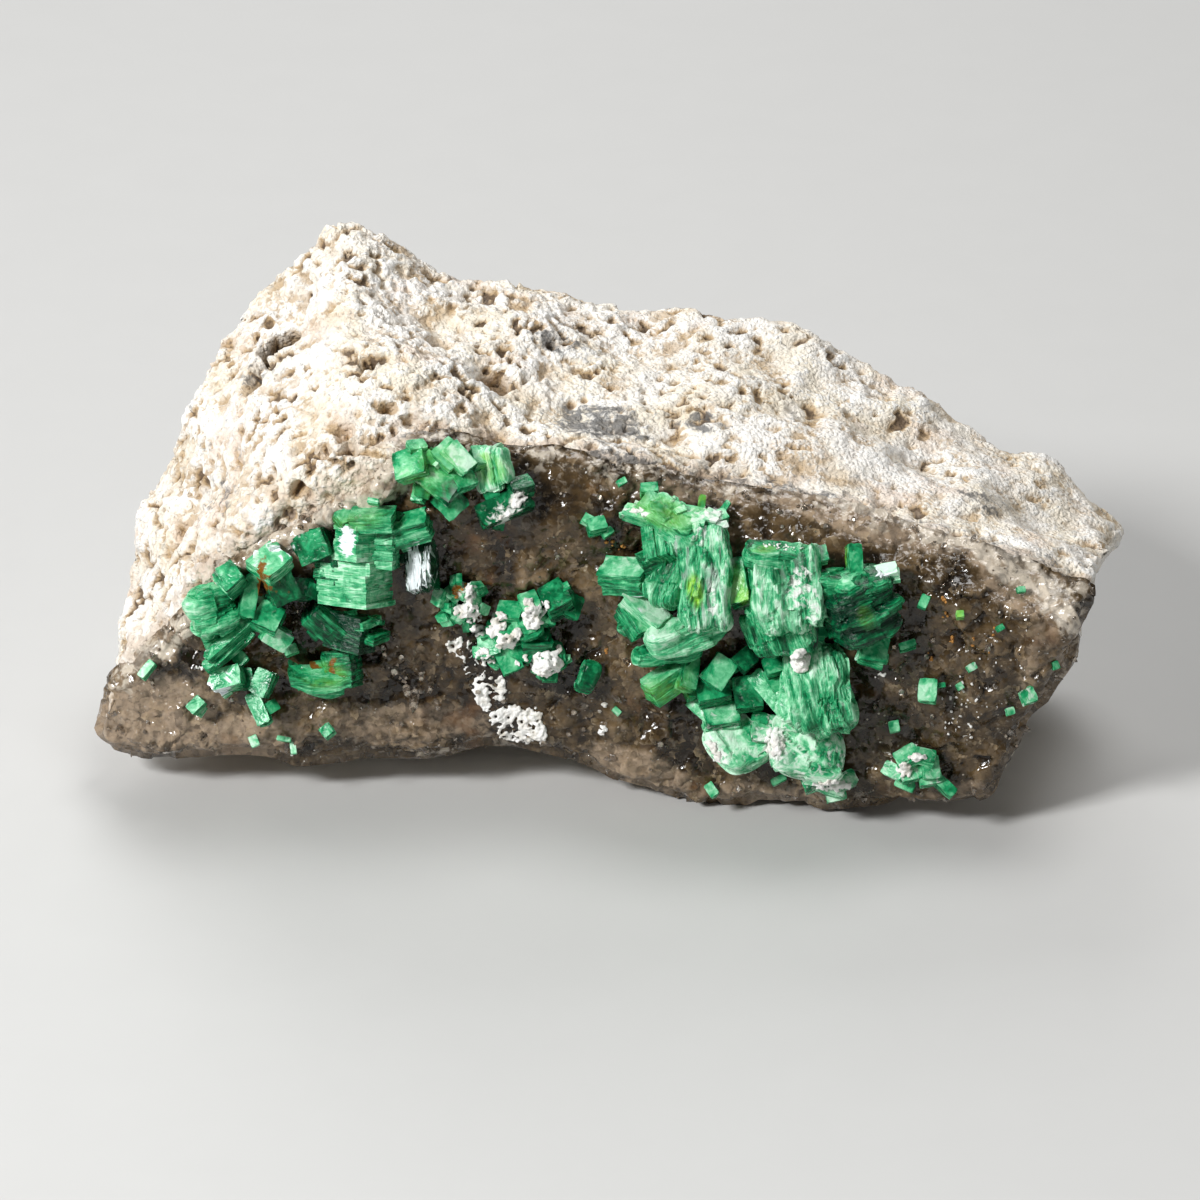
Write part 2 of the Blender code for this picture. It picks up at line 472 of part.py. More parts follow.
def stack_frame(axis, spin):
    """The turn that takes a flat-lying stack to its axis and spin."""
    up = (RIGHT * axis[0] + UP * axis[1] + EYE * axis[2]).normalized()
    side = UP if abs(up.dot(RIGHT)) > 0.8 else RIGHT
    across = (side - up * side.dot(up)).normalized()
    turn = Matrix((across, up.cross(across), up)).transposed()
    return turn @ Matrix.Rotation(math.radians(spin), 3, "Z")


def slab_mesh(name, width, height, thick, rounded):
    """One tablet with its middle at the origin, lying flat."""
    bm = bmesh.new()
    bmesh.ops.create_cube(bm, size=1.0)
    bmesh.ops.scale(bm, vec=(width * MM, height * MM, thick * MM), verts=bm.verts)
    if rounded:
        width = min(width, height, thick) * BEVEL_SHARE * MM
        bmesh.ops.bevel(bm, geom=bm.edges, offset=width, affect="EDGES", segments=1, profile=0.5,
                        material=-1)
    mesh = bpy.data.meshes.new(name)
    bm.to_mesh(mesh)
    bm.free()
    return mesh


def book_slabs(name, book, tree, collection):
    """The tablets of one book, slipped and turned a little against each other."""
    middle = seen_point(tree, book.px, book.py) + EYE * book.out * MM
    turn = stack_frame(book.axis, book.spin)
    rounded = book.form == "round"
    count = 1 if rounded else max(1, round(book.thick / STEP_HEIGHT))
    high = book.thick / count
    slabs = []
    for i in range(count):
        chance = noise.random_vector() * (0.0 if count == 1 else 1.0)
        wide = book.width * (1.0 - STEP_SLIP * abs(chance.z))
        long = book.height * (1.0 - STEP_SLIP * abs(chance.x))
        mesh = slab_mesh(name, wide, long, high * 1.06, rounded)
        slip = Vector((chance.x, chance.y, 0.0)) * STEP_SLIP * book.width
        lift = Vector((0.0, 0.0, (i + 0.5) * high - 0.5 * book.thick))
        skew = Matrix.Rotation(math.radians(STEP_TURN) * chance.z, 3, "Z")
        mesh.transform(Matrix.Translation(middle) @ (turn @ skew).to_4x4()
                       @ Matrix.Translation((slip + lift) * MM))
        slabs.append(add_cutter(name + "_slab", mesh, collection))
    return slabs


def grow_together(name, slabs, keep_off, material, collection):
    """Joins overlapping tablets in one solid and takes away what lies inside the crust."""
    whole = add_object(name, slabs[0].data, collection)
    for slab in slabs[1:]:
        boolean(whole, "UNION", slab)
    boolean(whole, "DIFFERENCE", keep_off)
    whole.data.name = name
    whole.data.materials.clear()
    whole.data.materials.append(material)
    return whole


def rosette_books():
    """The petals of the rosette, leaning outwards round its middle."""
    books = []
    for i in range(ROSETTE["petals"]):
        turn = 2.0 * math.pi * i / ROSETTE["petals"]
        right, up = math.cos(turn), math.sin(turn)
        books.append(Book(ROSETTE["px"] + right * ROSETTE["radius"] / PX,
                          ROSETTE["py"] - up * ROSETTE["radius"] / PX,
                          ROSETTE["out"], ROSETTE["side"], ROSETTE["side"], ROSETTE["thick"],
                          (0.45 * right, 0.45 * up, 0.9), 20.0 * i))
    middle = Book(ROSETTE["px"], ROSETTE["py"], ROSETTE["out"], 1.1, 1.1, 0.9, (0.0, 0.1, 1.0), 15, "round")
    return books + [middle]


def white_trail_lumps(tree, collection):
    """The rounded lumps of the white coating, standing a little out of the crust."""
    lumps = []
    for px, py, radius in WHITE_TRAIL:
        bm = bmesh.new()
        bmesh.ops.create_icosphere(bm, subdivisions=1, radius=radius * MM)
        mesh = bpy.data.meshes.new("white_lump")
        bm.to_mesh(mesh)
        bm.free()
        mesh.transform(Matrix.Translation(seen_point(tree, px, py) + EYE * WHITE_STANDS_OUT * MM))
        lumps.append(add_cutter("white_lump", mesh, collection))
    return lumps


def main():
    clear_scene()
    noise.seed_set(WEAR_SEED)
    parts = make_collection(COLLECTION_NAME)
    cutters = make_collection("cutters")

    rock = make_rock(cutters)
    rock.hide_render = True
    rock.display_type = "WIRE"
    front_zone = crust_zone("front_zone", 0.0, cutters)
    wide_zone = crust_zone("wide_zone", GAP / MM, cutters)

    host = add_object("host_rock", rock.data.copy(), parts)
    boolean(host, "DIFFERENCE", wide_zone)
    crust = add_object("quartz_crust", rock.data.copy(), parts)
    boolean(crust, "INTERSECT", front_zone)
    host.data.materials.clear()
    host.data.materials.append(make_material("host_rock", (0.72, 0.66, 0.56), 0.9))
    crust.data.materials.clear()
    crust.data.materials.append(make_material("smoky_quartz", (0.16, 0.12, 0.09), 0.35))

    keep_off = add_cutter("keep_off", rock.data.copy(), cutters)
    keep_off.data.transform(Matrix.Translation(EYE * GAP))

    tree = surface(rock)
    green = make_material("torbernite", (0.05, 0.32, 0.19), 0.3)
    clusters = {
        "left_fan_cluster": LEFT_FAN,
        "big_book_cluster": BIG_BOOK,
        "glassy_prism": GLASSY_PRISM,
        "ledge_slab_cluster": LEDGE_SLAB,
        "bowl_crystal_cluster": BOWL_CRYSTAL,
        "top_tablet_cluster": TOP_TABLETS,
        "barrel_book": BARREL_BOOK,
        "dark_tablet": DARK_TABLET,
        "small_rosette": rosette_books(),
        "dusted_cluster": DUSTED_CLUSTER,
        "bead_crystal": BEAD,
        "right_cluster": RIGHT_CLUSTER,
        "lower_flakes": LOWER_FLAKES,
    }
    clusters.update({name: [book] for name, book in SINGLE_TABLETS.items()})
    for name, books in clusters.items():
        slabs = []
        for book in books:
            slabs += book_slabs(name, book, tree, cutters)
        grow_together(name, slabs, keep_off, green, parts)

    chalk = make_material("white_crust", (0.85, 0.84, 0.8), 0.95)
    grow_together("white_crust", white_trail_lumps(tree, cutters), keep_off, chalk, parts)


main()
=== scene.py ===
"""Dresses the torbernite specimen: green books of leaves on smoky quartz, over porous white rock.

Places on the specimen are given as they are seen from the front, in the view that FrontView holds.
Sizes in the tables are millimetres.
"""

import logging
import math
from collections.abc import Callable
from dataclasses import dataclass, field
from enum import Enum
from typing import TypeVar

import bmesh
import bpy
import numpy as np
from mathutils import Matrix, Vector, noise
from mathutils.bvhtree import BVHTree


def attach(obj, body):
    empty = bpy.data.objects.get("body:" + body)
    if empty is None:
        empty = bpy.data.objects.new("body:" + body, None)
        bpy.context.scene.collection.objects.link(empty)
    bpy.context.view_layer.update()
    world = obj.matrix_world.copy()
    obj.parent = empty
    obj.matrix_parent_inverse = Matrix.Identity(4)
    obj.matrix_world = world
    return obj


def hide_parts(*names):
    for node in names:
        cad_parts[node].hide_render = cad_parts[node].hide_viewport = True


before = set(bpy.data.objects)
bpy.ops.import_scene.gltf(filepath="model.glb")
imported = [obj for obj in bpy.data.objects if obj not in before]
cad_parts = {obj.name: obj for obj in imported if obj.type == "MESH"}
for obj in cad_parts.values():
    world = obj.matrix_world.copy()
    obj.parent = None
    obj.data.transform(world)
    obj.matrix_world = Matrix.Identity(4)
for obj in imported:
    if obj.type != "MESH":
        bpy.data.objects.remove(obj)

LOG = logging.getLogger("torbernite")
MM = 0.001

Triple = tuple[float, float, float]
Colour = Triple
Socket = bpy.types.NodeSocket
Piece = bpy.types.Object
Mesh = bpy.types.Mesh
Material = bpy.types.Material
BMesh = bmesh.types.BMesh
Kind = TypeVar("Kind")


# The front view, and soft areas of it

@dataclass(frozen=True)
class FrontView:
    """The view from the front and above that places are read in, as an image 1200 wide and high."""

    tilt: float = math.radians(28.0)
    unit: float = 0.0384 * MM
    centre: float = 600.0
    middle: Triple = (0.0, -6.5 * MM, 8.92 * MM)
    distance: float = 0.25
    ray_start: float = 0.1

    @property
    def right(self) -> Vector:
        """The way that runs right in the view."""
        return Vector((1.0, 0.0, 0.0))

    @property
    def up(self) -> Vector:
        """The way that runs up in the view."""
        return Vector((0.0, math.sin(self.tilt), math.cos(self.tilt)))

    @property
    def eye(self) -> Vector:
        """The way from the specimen to the eye."""
        return Vector((0.0, -math.cos(self.tilt), math.sin(self.tilt)))

    def seen_point(self, tree: BVHTree, px: float, py: float) -> Vector | None:
        """Finds the point of a surface that shows at a place of the view.

        Args:
            tree: The surface to look at.
            px: Place across the view.
            py: Place down the view.

        Returns:
            The point, or None where the view passes the surface by.
        """
        across = self.right * (px - self.centre) + self.up * (self.centre - py)
        start = Vector(self.middle) + across * self.unit + self.eye * self.ray_start
        return tree.ray_cast(start, -self.eye)[0]

    def project(self, points: np.ndarray) -> tuple[np.ndarray, np.ndarray]:
        """Reads where points show in the view.

        Args:
            points: Points of the specimen, one a row.

        Returns:
            The places across and down the view.
        """
        apart = points - np.array(self.middle)
        scale = self.unit * (1.0 - apart @ np.array(self.eye) / self.distance)
        return (self.centre + apart @ np.array(self.right) / scale,
                self.centre - apart @ np.array(self.up) / scale)


VIEW = FrontView()

# The straight breaks at the two ends of the rock: places down the view, and how far across each stands.
LEFT_BREAK = ((560, 620, 644, 700, 748), (60, 118, 122, 110, 97))
RIGHT_BREAK = ((524, 545, 571, 600, 632, 731, 799), (1140, 1116, 1094, 1088, 1082, 1035, 997))
# The right tip is drawn out: from where across, about which place down, how far up and down, how much.
TIP_START, TIP_MIDDLE, TIP_REACH, TIP_DRAW = 1040.0, 524.0, 32.0, 16.0
# A patch fades out from full at the first share of its half sizes to nothing at the second.
PATCH_FULL, PATCH_END = 0.6, 1.3


def table(kind: Callable[..., Kind], *rows: tuple) -> list[Kind]:
    """Makes one thing of a kind from each row of a table."""
    return [kind(*row) for row in rows]


def held(value: float) -> float:
    """Holds a number between 0 and 1."""
    return min(1.0, max(0.0, value))


def ease(values: np.ndarray) -> np.ndarray:
    """Holds values between 0 and 1 and softens both ends."""
    kept = np.clip(values, 0.0, 1.0)
    return kept * kept * (3.0 - 2.0 * kept)


@dataclass(frozen=True)
class Patch:
    """A soft-edged oval of the front view, with its half width, half height and turn in degrees."""

    px: float
    py: float
    across: float
    down: float
    turn: float = 0.0
    strength: float = 1.0

    def cover(self, x: np.ndarray, y: np.ndarray) -> np.ndarray:
        """Says how strongly places of the view are covered.

        Args:
            x: Places across the view.
            y: Places down the view.

        Returns:
            The cover at each place, from 0 to the patch's strength.
        """
        turn = math.radians(self.turn)
        along = (x - self.px) * math.cos(turn) + (y - self.py) * math.sin(turn)
        beside = (y - self.py) * math.cos(turn) - (x - self.px) * math.sin(turn)
        reach = np.hypot(along / self.across, beside / self.down)
        return self.strength * ease((PATCH_END - reach) / (PATCH_END - PATCH_FULL))


def covered(patches: list[Patch], x: np.ndarray, y: np.ndarray) -> np.ndarray:
    """Says how strongly places are covered by the strongest of several patches.

    Args:
        patches: The soft ovals.
        x: Places across the view.
        y: Places down the view.

    Returns:
        The cover at each place, at least 0.
    """
    return np.max([np.zeros(len(x))] + [patch.cover(x, y) for patch in patches], axis=0)


@dataclass(frozen=True)
class Ripple:
    """One layer of noise on a surface: its height, its spacing and how far its pattern is shifted."""

    height: float
    spacing: float
    shift: Triple = (0.0, 0.0, 0.0)

    def at(self, place: Vector) -> float:
        """The layer's height at a place in millimetres."""
        return self.height * noise.noise(place / self.spacing + Vector(self.shift))


# Mesh helpers

def points_of(mesh: Mesh, what: str = "co") -> np.ndarray:
    """Reads a mesh's points, or with "normal" the outward direction at each, one a row."""
    flat = np.zeros(len(mesh.vertices) * 3)
    mesh.vertices.foreach_get(what, flat)
    return flat.reshape(-1, 3)


def set_points(mesh: Mesh, points: np.ndarray) -> None:
    """Moves a mesh's points."""
    mesh.vertices.foreach_set("co", points.ravel())
    mesh.update()


def store(mesh: Mesh, **rows: np.ndarray) -> None:
    """Stores a number or a vector at each point of a mesh under each name, for its material."""
    for name, values in rows.items():
        kind, part = ("FLOAT", "value") if values.ndim == 1 else ("FLOAT_VECTOR", "vector")
        kept = mesh.attributes.new(name, kind, "POINT")
        kept.data.foreach_set(part, values.astype(np.float32).ravel())


def mesh_from(bm: BMesh, name: str) -> Mesh:
    """Turns a bmesh into a mesh and frees it."""
    mesh = bpy.data.meshes.new(name)
    bm.to_mesh(mesh)
    bm.free()
    return mesh


def bmesh_of(*meshes: Mesh) -> BMesh:
    """Copies meshes into one bmesh."""
    bm = bmesh.new()
    for mesh in meshes:
        bm.from_mesh(mesh)
    return bm


def tree_of(bm: BMesh) -> BVHTree:
    """Makes a search tree over a bmesh's surface and frees the bmesh."""
    tree = BVHTree.FromBMesh(bm)
    bm.free()
    return tree


def welded(*nodes: str) -> BMesh:
    """Copies CAD nodes into one bmesh with their loose triangles joined."""
    bm = bmesh_of(*(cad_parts[node].data for node in nodes))
    bmesh.ops.remove_doubles(bm, verts=bm.verts, dist=1e-7)
    return bm


def fitted(bm: BMesh) -> BMesh:
    """Draws a rock mesh in to the straight breaks that show at its two ends."""
    for vert in bm.verts:
        (px,), (py,) = VIEW.project(np.array([vert.co]))
        left, right = (np.interp(py, *edge) for edge in (LEFT_BREAK, RIGHT_BREAK))
        drawn = max(0.0, px - TIP_START) / (RIGHT_BREAK[1][0] - TIP_START) * TIP_DRAW
        drawn *= max(0.0, 1.0 - abs(py - TIP_MIDDLE) / TIP_REACH)
        vert.co.x += (max(0.0, left - px) - max(0.0, px - right) + drawn) * VIEW.unit
    bm.normal_update()
    return bm


def remeshed(bm: BMesh, voxel: float) -> Mesh:
    """Makes an even, closed mesh of a bmesh's shape and frees the bmesh.

    Args:
        bm: The shape.
        voxel: The new mesh's spacing, in millimetres.

    Returns:
        The even mesh.
    """
    mesh = mesh_from(bm, "shape")
    mesh.transform(Matrix.Scale(1.0 / MM, 4))
    obj = bpy.data.objects.new("shape", mesh)
    bpy.context.scene.collection.objects.link(obj)
    step = obj.modifiers.new("even", "REMESH")
    step.mode = "VOXEL"
    step.voxel_size = voxel
    depsgraph = bpy.context.evaluated_depsgraph_get()
    even = bpy.data.meshes.new_from_object(obj.evaluated_get(depsgraph))
    bpy.data.objects.remove(obj)
    bpy.data.meshes.remove(mesh)
    even.transform(Matrix.Scale(MM, 4))
    return even


def one_skin(bm: BMesh, voxel: float) -> BMesh:
    """Turns a bmesh into an even one and keeps only its largest connected piece.

    Args:
        bm: The shape, which is freed.
        voxel: The new spacing, in millimetres.

    Returns:
        The even bmesh.
    """
    mesh = remeshed(bm, voxel)
    even = bmesh_of(mesh)
    bpy.data.meshes.remove(mesh)
    left, pieces = set(even.verts), []
    while left:
        piece, waiting = set(), [left.pop()]
        while waiting:
            vert = waiting.pop()
            piece.add(vert)
            near = [edge.other_vert(vert) for edge in vert.link_edges]
            waiting += [other for other in near if other in left]
            left.difference_update(near)
        pieces.append(piece)
    kept = max(pieces, key=len)
    bmesh.ops.delete(even, geom=[vert for vert in even.verts if vert not in kept], context="VERTS")
    even.normal_update()
    return even


def soften(bm: BMesh, passes: int) -> None:
    """Relaxes a bmesh and shades it smooth."""
    for _ in range(passes):
        bmesh.ops.smooth_vert(bm, verts=bm.verts, factor=0.5, use_axis_x=True, use_axis_y=True,
                              use_axis_z=True)
    for face in bm.faces:
        face.smooth = True
    bm.normal_update()


def refine(bm: BMesh, wanted: Callable[[bmesh.types.BMFace], bool]) -> None:
    """Halves the spacing of the faces that a test asks for."""
    edges = {edge for face in bm.faces if wanted(face) for edge in face.edges}
    bmesh.ops.subdivide_edges(bm, edges=list(edges), cuts=1, use_grid_fill=True)
    bm.normal_update()


def pull_up(bm: BMesh, faces: list[bmesh.types.BMFace], height: float, share: float = 1.0) -> None:
    """Extrudes faces upwards, and puts all faces in an order that is the same each run.

    Args:
        bm: The shape.
        faces: The faces to extrude.
        height: How far up they go.
        share: The size that they keep.
    """
    raised = bmesh.ops.extrude_face_region(bm, geom=faces)
    verts = [item for item in raised["geom"] if isinstance(item, bmesh.types.BMVert)]
    bmesh.ops.translate(bm, verts=verts, vec=(0.0, 0.0, height))
    bmesh.ops.scale(bm, verts=verts, vec=(share, share, 1.0))
    bm.verts.index_update()
    bm.faces.sort(key=lambda face: sum(vert.index ** 2 for vert in face.verts))


def place_piece(name: str, mesh: Mesh, material: Material, slot: str, *replaced: str) -> Piece:
    """Puts a finished mesh in the scene as a piece that rides on the specimen's body.

    Args:
        name: The piece's name.
        mesh: Its mesh, already in place.
        material: Its finish.
        slot: Not used; the record's material slot that the finish belongs to.
        replaced: The CAD nodes that the piece stands for.

    Returns:
        The new object.
    """
    mesh.name = name
    mesh.materials.clear()
    mesh.materials.append(material)
    piece = bpy.data.objects.new(name, mesh)
    bpy.context.scene.collection.objects.link(piece)
    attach(piece, "root")
    if replaced:
        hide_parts(*replaced)
    LOG.info("%s: %d faces", name, len(mesh.polygons))
    return piece


# Finishes

@dataclass(frozen=True)
class Coat:
    """A colour laid over another: none of it where a number is at start, its full share at full."""

    colour: Colour
    start: float = 0.0
    full: float = 1.0
    share: float = 1.0


class Bench:
    """One material's node tree, with a call for each kind of node that the finishes use."""

    def __init__(self, name: str) -> None:
        """Starts a material with its shader and Object coordinates."""
        self.material = bpy.data.materials.new(name)
        self.material.use_nodes = True
        self.tree = self.material.node_tree
        self.shader = self.tree.nodes["Principled BSDF"]
        self.place = self.add("ShaderNodeTexCoord", {}).outputs["Object"]

    def add(self, kind: str, inputs: dict, **settings) -> bpy.types.Node:
        """Adds a node.

        Args:
            kind: Blender's name of the node type.
            inputs: Values or sockets for the node's inputs, by name or number.
            settings: The node's own properties.

        Returns:
            The node.
        """
        node = self.tree.nodes.new(kind)
        for key, value in settings.items():
            setattr(node, key, value)
        for key, value in inputs.items():
            if isinstance(value, Socket):
                self.tree.links.new(value, node.inputs[key])
            else:
                node.inputs[key].default_value = value
        return node

    def noise(self, size: float, detail: float = 3.0, twist: float = 0.0,
              at: Socket | None = None) -> Socket:
        """Cloudy noise with blotches of a size in millimetres, from 0 to 1."""
        made = self.add("ShaderNodeTexNoise", {"Vector": at or self.place, "Scale": 1.0 / (size * MM),
                                               "Detail": detail, "Roughness": 0.55, "Distortion": twist})
        return made.outputs[0]

    def grown(self, across: float, along: float, detail: float, twist: float) -> Socket:
        """Noise in a crystal's own directions, with blotches so many to a millimetre across and along it."""
        own = self.add("ShaderNodeAttribute", {}, attribute_name="leaf").outputs["Vector"]
        return self.noise(1.0 / MM, detail, twist, self.vectors("MULTIPLY", own, (across, across, along)))

    def cells(self, size: float) -> Socket:
        """The distance to the middle of the nearest cell, for cells of a size in millimetres."""
        made = self.add("ShaderNodeTexVoronoi", {"Vector": self.place, "Scale": 1.0 / (size * MM)})
        return made.outputs["Distance"]

    def facets(self, size: float, crinkle: float = 1.6, bend: float = 0.9) -> Socket:
        """Makes flat facets, each tilted its own way.

        Args:
            size: A facet's size in millimetres.
            crinkle: How many waves to a facet its edges have.
            bend: How far the edges wander, as a share of the size.

        Returns:
            The facets' height, from about -1 to 1.
        """
        half, reach = (0.5, 0.5, 0.5), bend * size * MM
        wave = self.add("ShaderNodeTexNoise", {"Vector": self.place, "Scale": crinkle / (size * MM),
                                               "Detail": 1.5})
        shift = self.vectors("SUBTRACT", wave.outputs["Color"], half)
        place = self.vectors("ADD", self.place, self.vectors("MULTIPLY", shift, (reach, reach, reach)))
        cell = self.add("ShaderNodeTexVoronoi", {"Vector": place, "Scale": 1.0 / (size * MM)})
        away = self.vectors("SUBTRACT", self.place, cell.outputs["Position"])
        lean = self.vectors("SUBTRACT", cell.outputs["Color"], half)
        return self.times(self.vectors("DOT_PRODUCT", away, lean), 2.0 / (size * MM))

    def value(self, name: str) -> Socket:
        """The number stored at the mesh's points under a name."""
        return self.add("ShaderNodeAttribute", {}, attribute_name=name).outputs["Fac"]

    def vectors(self, operation: str, a: Socket | Triple, b: Socket | Triple) -> Socket:
        """One sum of two vectors."""
        made = self.add("ShaderNodeVectorMath", {0: a, 1: b}, operation=operation)
        return made.outputs["Value" if operation == "DOT_PRODUCT" else "Vector"]

    def plus(self, *parts: Socket | float) -> Socket:
        """The sum of several numbers."""
        total = parts[0]
        for part in parts[1:]:
            total = self.add("ShaderNodeMath", {0: total, 1: part}, operation="ADD").outputs[0]
        return total

    def times(self, a: Socket, b: Socket | float) -> Socket:
        """The product of two numbers."""
        return self.add("ShaderNodeMath", {0: a, 1: b}, operation="MULTIPLY").outputs[0]

    def span(self, source: Socket, low: float, high: float, to_low: float = 0.0,
             to_high: float = 1.0) -> Socket:
        """Maps a number from one range to another, softly at both ends."""
        made = self.add("ShaderNodeMapRange", {"Value": source, "From Min": low, "From Max": high,
                                               "To Min": to_low, "To Max": to_high},
                        interpolation_type="SMOOTHSTEP")
        return made.outputs[0]

    def swing(self, cloud: Socket, low: float, high: float | None = None) -> Socket:
        """Turns noise into a number that swings from low to high, or by low to either side."""
        return self.span(cloud, 0.3, 0.7, *((-low, low) if high is None else (low, high)))

    def mix(self, share: Socket | float, first: Socket | Colour, second: Socket | Colour) -> Socket:
        """Mixes two colours by a share of the second."""
        first, second = (c if isinstance(c, Socket) else (*c, 1.0) for c in (first, second))
        return self.add("ShaderNodeMix", {0: share, 6: first, 7: second}, data_type="RGBA").outputs[2]

    def coated(self, colour: Socket | Colour, *coats: tuple[Socket, Coat]) -> Socket:
        """Lays coats over a colour, one after the other, each where its number says."""
        for source, coat in coats:
            colour = self.mix(self.span(source, coat.start, coat.full, 0.0, coat.share), colour, coat.colour)
        return colour

    def ramp(self, share: Socket, stops: list[tuple[float, Colour]]) -> Socket:
        """Turns a number into a colour along a row of stops."""
        made = self.add("ShaderNodeValToRGB", {"Fac": share})
        elements = made.color_ramp.elements
        while len(elements) < len(stops):
            elements.new(1.0)
        for element, (place, colour) in zip(elements, stops):
            element.position = place
            element.color = (*colour, 1.0)
        return made.outputs["Color"]

    def bumps(self, *layers: tuple[Socket, float]) -> Socket:
        """Raises a surface by layers of a height from 0 to 1, each times a depth in millimetres."""
        under = None
        for height, depth in layers:
            inputs = {"Height": height, "Distance": depth * MM, "Strength": 1.0}
            under = self.add("ShaderNodeBump", inputs | ({"Normal": under} if under else {})).outputs[0]
        return under

    def dress(self, colour: Socket, roughness: Socket | float, normal: Socket | None = None,
              **constants: float) -> Material:
        """Connects the shader.

        Args:
            colour: Base colour.
            roughness: Roughness.
            normal: Bumped surface direction.
            constants: Other shader inputs, with an underscore for each space of their names.

        Returns:
            The finished material.
        """
        inputs = {"Base Color": colour, "Roughness": roughness, "Normal": normal, **constants}
        for name, source in inputs.items():
            wired = self.shader.inputs[name.replace("_", " ")]
            if isinstance(source, Socket):
                self.tree.links.new(source, wired)
            elif source is not None:
                wired.default_value = source
        return self.material


OCHRE: Colour = (0.45, 0.30, 0.14)
# The darkest brown of smoky quartz, also used for painted shade and painted shadow on the crust.
SMOKE_AND_SHADE: Colour = (0.012, 0.007, 0.003)
# Pale frosted quartz, also used for the painted glints on the crust.
FROST_AND_GLINT: Colour = (0.66, 0.585, 0.48)


@dataclass(frozen=True)
class PorousRockFinish:
    """Cream-white, sugary rock with ochre in its pores and grey seams."""

    name: str = "porous_rock"
    chalk: Colour = (0.91, 0.88, 0.83)
    cream: Coat = Coat((0.83, 0.755, 0.62), 0.38, 0.7)
    blush: Coat = Coat((0.74, 0.60, 0.49), 0.56, 0.72, 0.6)
    snow: Coat = Coat((0.88, 0.87, 0.84), 0.58, 0.95, 0.9)
    earth: Coat = Coat(OCHRE, 0.2, 0.75, 0.75)
    umber: Coat = Coat((0.075, 0.048, 0.032), 0.6, 1.0, 0.85)
    glass: Coat = Coat((0.56, 0.45, 0.35), 0.4, 0.95, 0.75)
    slate: Coat = Coat((0.095, 0.092, 0.090), 0.35, 1.2, 0.85)

    def build(self) -> Material:
        """Makes the material."""
        b = Bench(self.name)
        fine, grains = b.noise(0.24, 4.0, 0.7), b.cells(0.17)
        height = b.plus(b.value("raised"), b.swing(fine, 0.34))
        hollow = b.plus(b.value("hollow"), b.swing(fine, 0.12, -0.12))
        glassy = b.plus(b.value("glassy"), b.swing(b.noise(0.8), 0.35))
        seam = b.plus(b.value("smoke"), b.swing(b.noise(0.6, 4.0, 0.8), -0.6, 0.5), b.swing(fine, 0.3))
        stain = b.times(b.span(height, 0.52, 0.0), b.span(b.noise(1.5, 3.0, 0.5), 0.36, 0.64, 0.1, 0.75))
        colour = b.mix(stain, b.coated(self.chalk, (b.noise(2.6), self.cream)), OCHRE)
        colour = b.coated(colour, (b.noise(3.4, 2.0), self.blush), (height, self.snow), (hollow, self.earth),
                          (hollow, self.umber), (glassy, self.glass), (seam, self.slate))
        normal = b.bumps((fine, 0.15), (b.span(grains, 0.1, 0.8, 1.0, 0.0), 0.04))
        return b.dress(colour, b.span(grains, 0.1, 0.7, 0.45, 0.85), normal, Specular_IOR_Level=0.45)


